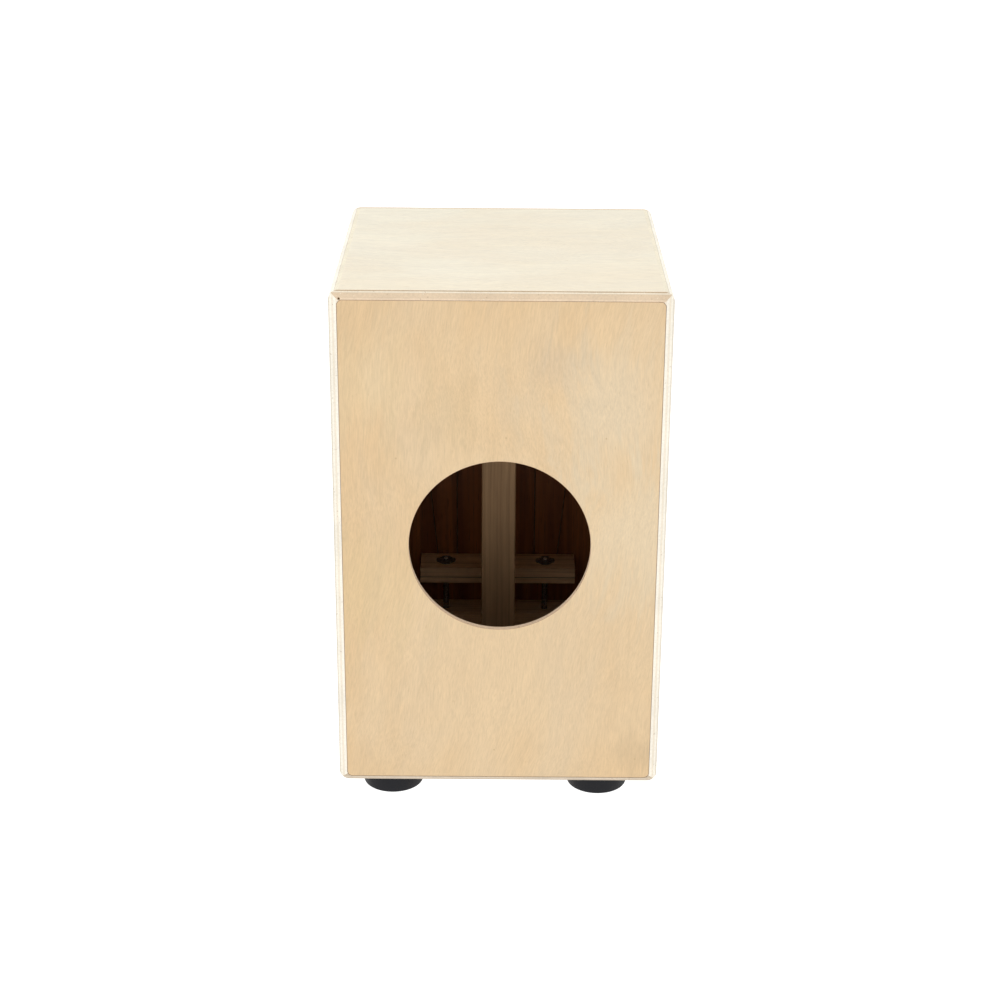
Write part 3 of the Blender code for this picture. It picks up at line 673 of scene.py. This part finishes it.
def seat_outline():
    arc_x = HALF_WIDTH - EDGE_RADIUS
    curve = arc(arc_x, TOP_Z - EDGE_RADIUS, EDGE_RADIUS, 45, 90)
    curve[0] = (curve[0][0] - SEAM, curve[0][1])
    return mirrored([(SIDE_INNER_X - SEAM, CEILING_Z)] + curve)


def base_outline():
    arc_x = HALF_WIDTH - EDGE_RADIUS
    curve = arc(arc_x, BASE_Z + EDGE_RADIUS, EDGE_RADIUS, -90, -45)
    curve[-1] = (curve[-1][0] - SEAM, curve[-1][1])
    return mirrored(curve + [(SIDE_INNER_X - SEAM, FLOOR_Z)])


def side_outline(side):
    arc_x = HALF_WIDTH - EDGE_RADIUS
    lower = arc(arc_x, BASE_Z + EDGE_RADIUS, EDGE_RADIUS, -45, 0)
    upper = arc(arc_x, TOP_Z - EDGE_RADIUS, EDGE_RADIUS, 0, 45)
    outline = lower + upper + [(SIDE_INNER_X, CEILING_Z), (SIDE_INNER_X, FLOOR_Z)]
    return [(side * x, z) for x, z in outline]


def mitre_void():
    """A small gap in the glue of one mitre, as a plug to cut out."""
    radius = 0.0012
    length = 0.010
    from_side = 0.0092
    from_top = 0.0080
    centre = (HALF_WIDTH - from_side, REAR_Y, TOP_Z - from_top)
    return rod("mitre_void", radius, length, centre, (0.3, 1, 0.2), 10)


def shell_panel(node, outline, outward, outer, edge, inner, holes=()):
    """One wall of the box: face veneer outside, bare inside, and plies on its edges."""
    piece = outline_solid(node + "_fine", [outline], TAPA_INNER_Y + SEAM, REAR_Y)
    carve(piece, rebate_cutter(), *holes)
    outward = Vector(outward)
    surface = max(Vector(corner).dot(outward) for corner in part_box(node))
    axis = "XYZ"[max(range(3), key=lambda i: abs(outward[i]))]
    inward = -1 if sum(outward) > 0 else 1
    curve = ply_edge(node + "_roundover", axis, -inward * surface, inward, ROUNDOVER_PLIES, 0.5)

    def choose(normal, centre):
        facing = normal.dot(outward)
        if facing > FLAT:
            return 0
        if facing < -FLAT and centre.dot(outward) < surface - EDGE_RADIUS / 2:
            return 2
        return 3 if facing > 0.3 else 1

    coat_faces(piece, (outer, edge, inner, curve), choose)
    soften(piece, WALL_EASE, 2, 25)
    stand_for(piece, node)


def base_hole_cutters():
    """The bolts' holes, right through, and the foot screws' shorter ones."""
    bolt_hole_length = 0.04
    foot_hole_length = 0.012
    cutters = []
    for side in SIDES:
        x, y, _ = centre_of(f"{side}_tension_bolt")
        place = (x, y, BASE_Z)
        cutters.append(rod("bolt_hole", BOLT_HOLE_RADIUS, bolt_hole_length, place, UP))
    for corner in CORNERS:
        x, y, _ = centre_of(f"{corner}_foot_screw")
        place = (x, y, BASE_Z)
        cutters.append(rod("foot_hole", FOOT_SCREW_HOLE_RADIUS, foot_hole_length, place, UP, 24))
    return cutters


def make_box():
    seat, side, base, bare = panel_materials()
    seat_edge = ply_edge("seat_plies", "Z", TOP_Z, -1, SEAT_PLIES)
    base_edge = ply_edge("base_plies", "Z", BASE_Z, 1, BASE_PLIES)
    shell_panel("seat_panel", seat_outline(), (0, 0, 1), seat, seat_edge, bare, [mitre_void()])
    holes = base_hole_cutters()
    shell_panel("base_panel", base_outline(), (0, 0, -1), base, base_edge, bare, holes)
    for node, sign in (("left_side_panel", -1), ("right_side_panel", 1)):
        edge = ply_edge(node + "_plies", "X", sign * HALF_WIDTH, -sign, SIDE_PLIES)
        holes = [mitre_void()] if sign > 0 else []
        shell_panel(node, side_outline(sign), (sign, 0, 0), side, edge, bare, holes)
    make_rear_panel(bare)
    make_tapa()


def make_rear_panel(bare):
    face = veneer("rear_birch", "Z", BIRCH, 0.42, GRAIN_LEAN, REAR_MARKS, REAR_SPECKS)
    edge = ply_edge("rear_plies", "Y", REAR_Y, -1, REAR_PLIES)
    hole = circle(0, SOUND_HOLE_Z, SOUND_HOLE_RADIUS, HOLE_STEPS)
    piece = outline_solid("rear_panel_fine", [rear_outline(REAR_GAP), hole], REAR_INNER_Y, REAR_Y)

    def choose(normal, _):
        if abs(normal.y) < FLAT:
            return 1
        return 0 if normal.y > 0 else 2

    coat_faces(piece, (face, edge, bare), choose)
    # The eased arris takes the plies' brown first ply, partly painted shade of the gap round the panel.
    soften(piece, REAR_EASE, material=1)
    stand_for(piece, "rear_panel")


def tapa_screw_nodes():
    return sorted(node for node in frame["nodes"] if node.startswith("tapa_screw_"))


def make_tapa():
    """The thin playing panel, with its holes for the screws' heads."""
    outline = rounded_rectangle(-HALF_WIDTH, BASE_Z, HALF_WIDTH, TOP_Z, EDGE_RADIUS)
    loops = [outline]
    clearance = 0.00012
    for node in tapa_screw_nodes():
        low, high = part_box(node)
        x, _, z = (low + high) / 2
        loops.append(circle(x, z, (high.x - low.x) / 2 + clearance, 32))
    piece = outline_solid("tapa_fine", loops, FRONT_Y, TAPA_INNER_Y)
    edge = ply_edge("tapa_plies", "Y", FRONT_Y, 1, TAPA_PLIES)
    coat_faces(piece, (tapa_material(), edge), lambda normal, _: int(abs(normal.y) < FLAT))
    soften(piece, TAPA_EASE, 2)
    stand_for(piece, "tapa")


# ---- inner timbers ----


def timber(node, material, width=TIMBER_EASE, cutters=()):
    """A planed bar with its holes and eased arrises."""
    low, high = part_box(node)
    piece = block(node + "_fine", low, high)
    if cutters:
        carve(piece, *cutters)
    piece.data.materials.append(material)
    soften(piece, width)
    stand_for(piece, node)


def string_screw_cutters(level):
    cutters = []
    for string in STRINGS:
        centre = centre_of(f"{string}_string_{level}_screw")
        pilot = rod("pilot", STRING_PILOT_RADIUS, STRING_PILOT_LENGTH, centre, (0, 1, 0), 24)
        cutters.append(pilot)
    return cutters


def bolt_cutters(node, radius):
    """Holes on the bolts' axes, right through a node."""
    low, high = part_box(node)
    length = high.z - low.z + 2 * OVERRUN
    cutters = []
    for side in SIDES:
        x, y, _ = centre_of(f"{side}_tension_bolt")
        cutters.append(rod("bolt_hole", radius, length, (x, y, (low.z + high.z) / 2), UP))
    return cutters


def make_timbers():
    pine = timber_material("post_pine", "Z", POST_LIGHT, POST_DARK)
    beam = timber_material("beam_pine", "X", BEAM_LIGHT, BEAM_DARK)
    glue_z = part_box("snare_bar")[1].z - BAR_GLUE_DEPTH
    bar = timber_material("bar_pine", "X", BEAM_LIGHT, BEAM_DARK, glue_z)
    bar_holes = bolt_cutters("snare_bar", NUT_HOLE_RADIUS) + string_screw_cutters("lower")
    block_holes = bolt_cutters("tension_block", BOLT_HOLE_RADIUS)
    timber("centre_post", pine, POST_EASE)
    timber("snare_bar", bar, cutters=bar_holes)
    timber("tension_block", beam, cutters=block_holes)
    timber("string_rail", beam, cutters=string_screw_cutters("upper"))


# ---- fasteners ----


def cross_recess(piece, reach, bottom):
    """Cuts a driver's cross into a head that looks along +Z, down to the height bottom."""
    half_slot = reach * 0.2
    low = Vector((-reach, -half_slot, bottom))
    high = Vector((reach, half_slot, OVERRUN))
    bars = []
    for turn in (0, math.pi / 2):
        bar = block("driver", low, high)
        bar.data.transform(Matrix.Rotation(turn, 4, "Z"))
        bars.append(bar)
    carve(piece, *bars)
    piece.data.shade_smooth()
    piece.data.set_sharp_from_angle(angle=math.radians(35))


def wood_screw_mesh(name, head, shank, length, recess):
    """A screw pointing down from its head, whose profile is given from the axis outwards.

    recess is the driver's cross: its reach from the axis and the height of its bottom.
    """
    root = shank * 0.78
    pitch = WOOD_THREAD_PITCH
    plain_length = 0.0006
    top = head[-1][1] - plain_length
    turns = int((top + length - shank * 2) / pitch)
    thread = []
    for i in range(turns):
        z = top - i * pitch
        thread += [(root, z), (shank, z - pitch * 0.35), (root, z - pitch * 0.7)]
    profile = head + thread + [(0, -length)]
    piece = new_piece(name, turned_mesh(name, profile, 32))
    cross_recess(piece, *recess)
    mesh = piece.data
    bpy.data.objects.remove(piece)
    return mesh


def place_screws(mesh, nodes, axis, head_end, material):
    """One copy of the mesh for each CAD screw. axis is where the head looks; head_end is its top."""
    mesh.materials.append(material)
    for node in nodes:
        low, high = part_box(node)
        centre = (low + high) / 2
        direction = Vector(axis)
        reach = (high - low).dot(Vector(map(abs, direction))) / 2
        piece = new_piece(node + "_fine", mesh)
        piece.rotation_euler = direction.to_track_quat("Z", "Y").to_euler()
        piece.location = centre + direction * (reach - head_end)
        stand_for(piece, node)


def pan_head(radius, height, shank):
    """The profile of a domed head with a flat underside, from the axis outwards."""
    rim = [(radius * math.sin(a), height * (0.35 + 0.65 * math.cos(a))) for a in (0.4, 0.8, 1.2)]
    return [(0, height)] + rim + [(radius, height * 0.3), (radius, 0), (shank, 0)]


def length_of(node, axis):
    low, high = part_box(node)
    return (high - low)["XYZ".index(axis)]


def make_tapa_screws(zinc):
    """Countersunk screws, flush with the playing panel."""
    shank = 0.0016
    head = [(0, 0), (0.0034, 0), (0.0036, -0.00015), (shank, -0.0022)]
    length = length_of("tapa_screw_01", "Y")
    mesh = wood_screw_mesh("tapa_screw", head, shank, length, (0.0017, -0.0011))
    place_screws(mesh, tapa_screw_nodes(), (0, -1, 0), 0.0, zinc)


def make_string_screws(zinc):
    shank = 0.0015
    head_height = 0.0014
    head = pan_head(0.0031, head_height, shank)
    length = length_of("left_inner_string_lower_screw", "Y") - head_height
    mesh = wood_screw_mesh("string_screw", head, shank, length, (0.0016, 0.0005))
    nodes = [f"{string}_string_{level}_screw" for string in STRINGS for level in ("lower", "upper")]
    place_screws(mesh, nodes, (0, -1, 0), head_height, zinc)


def make_foot_screws(zinc):
    shank = 0.0021
    head_height = 0.0028
    head = pan_head(0.0045, head_height, shank)
    length = length_of("front_left_foot_screw", "Z") - head_height
    mesh = wood_screw_mesh("foot_screw", head, shank, length, (0.0022, 0.0012))
    nodes = [f"{corner}_foot_screw" for corner in CORNERS]
    place_screws(mesh, nodes, (0, 0, -1), head_height, zinc)


def washer_mesh(name, node, bore):
    low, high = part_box(node)
    outer = (high.x - low.x) / 2
    thickness = high.z - low.z
    ease = thickness * 0.2
    profile = [
        (bore, 0),
        (bore, thickness),
        (outer - ease, thickness),
        (outer, thickness - ease),
        (outer, ease),
        (outer - ease, 0),
    ]
    mesh = turned_mesh(name, profile)
    mesh.set_sharp_from_angle(angle=math.radians(35))
    return mesh


def make_washers(zinc):
    kinds = (
        ("bolt_washer", SIDES, BOLT_WASHER_BORE),
        ("foot_washer", CORNERS, FOOT_WASHER_BORE),
    )
    for kind, places, bore in kinds:
        mesh = washer_mesh(kind, f"{places[0]}_{kind}", bore)
        mesh.materials.append(zinc)
        for place in places:
            node = f"{place}_{kind}"
            low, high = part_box(node)
            centre = (low + high) / 2
            piece = new_piece(node + "_fine", mesh)
            piece.location = (centre.x, centre.y, low.z)
            stand_for(piece, node)


def make_claw_nuts(zinc):
    """A stamped flange with notches where its claws were bent down, on a barrel."""
    low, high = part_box("left_claw_nut")
    radius = (high.x - low.x) / 2
    flange = NUT_FLANGE_THICKNESS
    length = high.z - low.z - flange
    half_pitch = 180 / CLAW_COUNT
    lobe = 0.6 * half_pitch
    notch = 0.2 * half_pitch
    lobes = [2 * half_pitch * i for i in range(CLAW_COUNT)]
    notches = [angle + half_pitch for angle in lobes]
    outline = []
    for at, between in zip(lobes, notches):
        outline += arc(0, 0, radius, at - lobe, at + lobe, 12)
        outline += arc(0, 0, radius * 0.62, between - notch, between + notch, 4)
    barrel_profile = [
        (NUT_BORE_RADIUS, flange * 0.5),
        (NUT_BARREL_RADIUS, flange * 0.5),
        (NUT_BARREL_RADIUS, -length),
        (NUT_BORE_RADIUS, -length),
    ]
    for side in SIDES:
        node = f"{side}_claw_nut"
        x, y, _ = centre_of(node)
        piece = outline_solid(node + "_fine", [outline], 0, flange)
        piece.data.transform(Matrix.Rotation(-math.pi / 2, 4, "X"))
        settle_flat(piece)
        barrel = new_piece("barrel", turned_mesh("barrel", barrel_profile, 40))
        carve(piece, rod("bore", NUT_BORE_RADIUS, 4 * flange, (0, 0, 0), UP, 40))
        join([piece, barrel] + [claw(radius, angle) for angle in notches])
        piece.data.transform(Matrix.Translation((x, y, high.z - flange)))
        piece.data.materials.append(zinc)
        soften(piece, NUT_EASE, 2, 40)
        stand_for(piece, node)


def settle_flat(piece):
    """Moves a flat plate so that it lies on z = 0."""
    lowest = min(v.co.z for v in piece.data.vertices)
    piece.data.transform(Matrix.Translation((0, 0, -lowest)))


def claw(radius, angle):
    """One pointed claw, bent down from the flange's rim."""
    reach = radius * 0.82
    shoulder = CLAW_HALF_WIDTH * 0.9
    top = NUT_FLANGE_THICKNESS * 0.7
    front = [
        (-CLAW_HALF_WIDTH, top),
        (CLAW_HALF_WIDTH, top),
        (shoulder, -CLAW_LENGTH * 0.5),
        (0, -CLAW_LENGTH),
        (-shoulder, -CLAW_LENGTH * 0.5),
    ]
    mesh = bpy.data.meshes.new("claw")
    work = bmesh.new()
    near = [work.verts.new((reach - CLAW_THICKNESS / 2, y, z)) for y, z in front]
    face = work.faces.new(near)
    grown = bmesh.ops.extrude_face_region(work, geom=[face])
    moved = [v for v in grown["geom"] if isinstance(v, bmesh.types.BMVert)]
    bmesh.ops.translate(work, vec=(CLAW_THICKNESS, 0, 0), verts=moved)
    bmesh.ops.recalc_face_normals(work, faces=work.faces)
    turn = Matrix.Rotation(math.radians(angle), 3, "Z")
    bmesh.ops.rotate(work, cent=(0, 0, 0), matrix=turn, verts=work.verts)
    work.to_mesh(mesh)
    work.free()
    return new_piece("claw", mesh)


def join(parts):
    """Makes one object of several, kept as the first."""
    work = bmesh.new()
    for part in parts:
        work.from_mesh(part.data)
    work.to_mesh(parts[0].data)
    work.free()
    for part in parts[1:]:
        bpy.data.objects.remove(part)


def thread_mesh(low_z, high_z):
    """A bolt's thread: rows of points that climb one pitch a turn, and run out at both ends."""
    columns = 24
    pitch = BOLT_THREAD_PITCH
    depth = BOLT_THREAD_DEPTH
    tooth = (0.0, depth, depth, 0.0)
    rows = int((high_z - low_z) / pitch) * len(tooth)
    mesh = bpy.data.meshes.new("thread")
    work = bmesh.new()
    grid = []
    for k in range(rows + len(tooth)):
        row = []
        for j in range(columns):
            angle = 2 * math.pi * j / columns
            climb = low_z + pitch * (k / len(tooth) + j / columns)
            z = min(max(climb, low_z), high_z)
            near_end = min(z - low_z, high_z - z)
            inset = depth if near_end < pitch * 0.4 else tooth[k % len(tooth)]
            r = BOLT_RADIUS - inset
            row.append(work.verts.new((r * math.cos(angle), r * math.sin(angle), z)))
        grid.append(row)
    for k in range(rows + len(tooth) - 1):
        for j in range(columns):
            if j + 1 < columns:
                right, above = grid[k][j + 1], grid[k + 1][j + 1]
            elif k + 1 + len(tooth) < len(grid):
                right, above = grid[k + len(tooth)][0], grid[k + 1 + len(tooth)][0]
            else:
                continue
            work.faces.new((grid[k][j], right, above, grid[k + 1][j]))
    bmesh.ops.remove_doubles(work, verts=work.verts, dist=1e-7)
    bmesh.ops.dissolve_degenerate(work, edges=work.edges, dist=1e-7)
    bmesh.ops.holes_fill(work, edges=work.edges, sides=0)
    bmesh.ops.recalc_face_normals(work, faces=work.faces)
    work.to_mesh(mesh)
    work.free()
    mesh.shade_smooth()
    return mesh


def make_bolts(plated, bare):
    """Socket-head cap bolts: a plain shank with a threaded upper end and a domed tip. The plating is
    darkened as painted shade; the tip's bright steel is partly a rubbed bare end, partly a painted
    highlight.
    """
    low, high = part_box("left_tension_bolt")
    head_radius = (high.x - low.x) / 2
    length = high.z - low.z
    thread_start = length - BOLT_THREAD_LENGTH
    core = BOLT_RADIUS - BOLT_CHAMFER
    dome_height = 0.8 * core
    angles = [math.radians(15 * i) for i in range(7)]
    dome = [(core * math.sin(a), length - dome_height * (1 - math.cos(a))) for a in angles]
    profile = dome + [
        (core, thread_start),
        (BOLT_RADIUS, thread_start - BOLT_CHAMFER),
        (BOLT_RADIUS, BOLT_HEAD_HEIGHT),
        (head_radius - BOLT_CHAMFER / 2, BOLT_HEAD_HEIGHT),
        (head_radius, BOLT_HEAD_HEIGHT - BOLT_CHAMFER / 2),
        (head_radius, BOLT_CHAMFER),
        (head_radius - BOLT_CHAMFER, 0),
        (0, 0),
    ]
    for side in SIDES:
        node = f"{side}_tension_bolt"
        x, y, _ = centre_of(node)
        piece = new_piece(node + "_fine", turned_mesh(node, profile))
        carve(piece, rod("hex_socket", HEX_SOCKET_RADIUS, 2 * HEX_SOCKET_DEPTH, (0, 0, 0), UP, 6))
        thread = new_piece("thread", thread_mesh(thread_start, length - dome_height))
        join([piece, thread])
        piece.data.shade_smooth()
        piece.data.set_sharp_from_angle(angle=math.radians(35))
        # The domed tip takes the bright steel, partly a painted highlight, and the rest the darker
        # plating, painted shade.
        coat_faces(piece, (plated, bare), lambda _, centre: int(centre.z > length - dome_height))
        piece.data.transform(Matrix.Translation((x, y, low.z)))
        stand_for(piece, node)


# ---- strings ----


def eye(centre, side, upper):
    """(x, z) points of a wire eye about a screw, from where the string enters it."""
    turned_by = 270 if upper else -270
    points = arc(0, 0, STRING_EYE_RADIUS, 0, turned_by, STRING_EYE_STEPS)
    return [(centre.x + side * x, centre.z + z) for x, z in points]


def string_route(string):
    """From the lower eye, up the tapa's inner face, to the upper eye."""
    low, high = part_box(f"{string}_string")
    side = 1 if "right" in string else -1
    low_eye = eye(centre_of(f"{string}_string_lower_screw"), side, False)
    high_eye = eye(centre_of(f"{string}_string_upper_screw"), side, True)
    eye_y = high.y - STRING_RADIUS
    tapa_y = low.y + STRING_RADIUS
    (low_x, low_z), (high_x, high_z) = low_eye[0], high_eye[0]
    slope = (high_x - low_x) / (high_z - low_z)
    points = [Vector((x, eye_y, z)) for x, z in reversed(low_eye)]
    for i in range(1, STRING_STEPS):
        z = low_z + (high_z - low_z) * i / STRING_STEPS
        near = min(z - low_z, high_z - z)
        share = min(near / STRING_PRESS_LENGTH, 1.0)
        smooth = share * share * (3 - 2 * share)
        points.append(Vector((low_x + slope * (z - low_z), eye_y + (tapa_y - eye_y) * smooth, z)))
    return points + [Vector((x, eye_y, z)) for x, z in high_eye]


def tube(name, points, radius):
    curve = bpy.data.curves.new(name, "CURVE")
    curve.dimensions = "3D"
    curve.bevel_depth = radius
    curve.bevel_resolution = 3
    curve.use_fill_caps = True
    spline = curve.splines.new("POLY")
    spline.points.add(len(points) - 1)
    for point, place in zip(spline.points, points):
        point.co = (*place, 1)
    guide = new_piece(name, curve)
    graph = bpy.context.evaluated_depsgraph_get()
    mesh = bpy.data.meshes.new_from_object(guide.evaluated_get(graph))
    bpy.data.objects.remove(guide)
    work = bmesh.new()
    work.from_mesh(mesh)
    bmesh.ops.remove_doubles(work, verts=work.verts, dist=1e-7)
    work.to_mesh(mesh)
    work.free()
    mesh.shade_smooth()
    return new_piece(name, mesh)


def make_strings():
    material = wound_string_material()
    for string in STRINGS:
        node = f"{string}_string"
        piece = tube(node + "_fine", string_route(string), STRING_RADIUS)
        piece.data.materials.append(material)
        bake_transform(piece)
        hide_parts(node)


# ---- feet ----


def make_feet():
    """Moulded rubber discs with a soft lower edge and a recess for the screw."""
    low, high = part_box("rear_left_foot")
    radius = (high.x - low.x) / 2
    top = high.z
    ease = 0.0008
    upper = [(radius - ease, top), (radius - 0.0002, top - 0.0003), (radius, top - 0.0010)]
    lower = arc(radius - FOOT_EDGE_RADIUS, FOOT_EDGE_RADIUS, FOOT_EDGE_RADIUS, 0, -90, 8)
    mouth = arc(FOOT_RECESS_RADIUS + ease, ease, ease, -90, -180, 4)
    recess = [(FOOT_RECESS_RADIUS, FOOT_RECESS_DEPTH), (FOOT_SCREW_HOLE_RADIUS, FOOT_RECESS_DEPTH)]
    profile = [(FOOT_SCREW_HOLE_RADIUS, top)] + upper + lower + mouth + recess
    mesh = turned_mesh("foot", profile, 96)
    mesh.set_sharp_from_angle(angle=math.radians(50))
    mesh.materials.append(rubber_material())
    for corner in CORNERS:
        node = f"{corner}_foot"
        centre = centre_of(node)
        piece = new_piece(node + "_fine", mesh)
        piece.location = (centre.x, centre.y, 0)
        stand_for(piece, node)


# ---- stage ----

CAMERA_PLACE = Vector((0.0, 1.8472, 0.9838))
CAMERA_PITCH = 21.775  # degrees down
CAMERA_ROLL = 0.40  # degrees
CAMERA_LENS = 73.3  # mm
FLOOR_SIZE = 8
FLOOR_GLOW = 1.15
LIGHT_PLACE = (0.1, 0.5, 2.5)
LIGHT_TARGET = (0, 0, 0.3)
LIGHT_SIZE = 1.6
LIGHT_POWER = 30

# How the sky dims between two heights on a unit sphere
SKY_FADE = {"From Min": 0.12, "From Max": 0.42, "To Min": 1.0, "To Max": 0.53}


def make_camera():
    camera = bpy.data.cameras.new("camera")
    camera.lens = CAMERA_LENS
    camera.sensor_width = 36
    camera.clip_end = 50
    holder = bpy.data.objects.new("camera", camera)
    bpy.context.scene.collection.objects.link(holder)
    turned = Matrix.Rotation(math.pi, 4, "Z")
    pitched = Matrix.Rotation(math.radians(90 - CAMERA_PITCH), 4, "X")
    rolled = Matrix.Rotation(math.radians(CAMERA_ROLL), 4, "Z")
    holder.matrix_world = Matrix.Translation(CAMERA_PLACE) @ turned @ pitched @ rolled
    bpy.context.scene.camera = holder


def make_overhead_light():
    light = bpy.data.lights.new("overhead", "AREA")
    light.shape = "SQUARE"
    light.size = LIGHT_SIZE
    light.energy = LIGHT_POWER
    holder = bpy.data.objects.new("overhead", light)
    bpy.context.scene.collection.objects.link(holder)
    holder.location = LIGHT_PLACE
    direction = Vector(LIGHT_TARGET) - Vector(LIGHT_PLACE)
    holder.rotation_euler = direction.to_track_quat("-Z", "Y").to_euler()


def make_floor():
    """A floor that glows, so that it melts into the white surroundings."""
    floor = new_piece("floor", bpy.data.meshes.new("floor"))
    work = bmesh.new()
    bmesh.ops.create_grid(work, x_segments=1, y_segments=1, size=FLOOR_SIZE)
    work.to_mesh(floor.data)
    work.free()
    shader = Shader("pale_floor", 0.7)
    shader.surface.inputs["Emission Color"].default_value = (1, 1, 1, 1)
    shader.surface.inputs["Emission Strength"].default_value = FLOOR_GLOW
    floor.data.materials.append(shader.colour(FLOOR_GREY))


def make_surroundings():
    """A white studio: bright low down all round, dimmer higher up."""
    world = bpy.data.worlds.new("studio")
    bpy.context.scene.world = world
    world.use_nodes = True
    tree = world.node_tree
    direction = tree.nodes.new("ShaderNodeTexCoord").outputs["Generated"]
    height = tree.nodes.new("ShaderNodeSeparateXYZ")
    tree.links.new(direction, height.inputs[0])
    fade = tree.nodes.new("ShaderNodeMapRange")
    fade.interpolation_type = "SMOOTHSTEP"
    for name, value in SKY_FADE.items():
        fade.inputs[name].default_value = value
    tree.links.new(height.outputs["Z"], fade.inputs["Value"])
    background = tree.nodes["Background"]
    background.inputs["Color"].default_value = (1, 1, 1, 1)
    tree.links.new(fade.outputs["Result"], background.inputs["Strength"])
    bpy.context.scene.view_settings.view_transform = "Standard"


def main():
    zinc = metal_material("zinc_plate", *ZINC)
    shaded_zinc = metal_material("shaded_zinc_plate", *SHADED_ZINC)
    dark_zinc = metal_material("dark_zinc_plate", *DARK_ZINC)
    bare_steel_highlight = metal_material("bare_steel_highlight", *BARE_STEEL_HIGHLIGHT)
    make_box()
    make_timbers()
    make_tapa_screws(zinc)
    make_string_screws(zinc)
    make_foot_screws(zinc)
    make_washers(zinc)
    make_claw_nuts(dark_zinc)
    make_bolts(shaded_zinc, bare_steel_highlight)
    make_strings()
    make_feet()
    make_floor()
    make_surroundings()
    make_overhead_light()
    make_camera()


main()
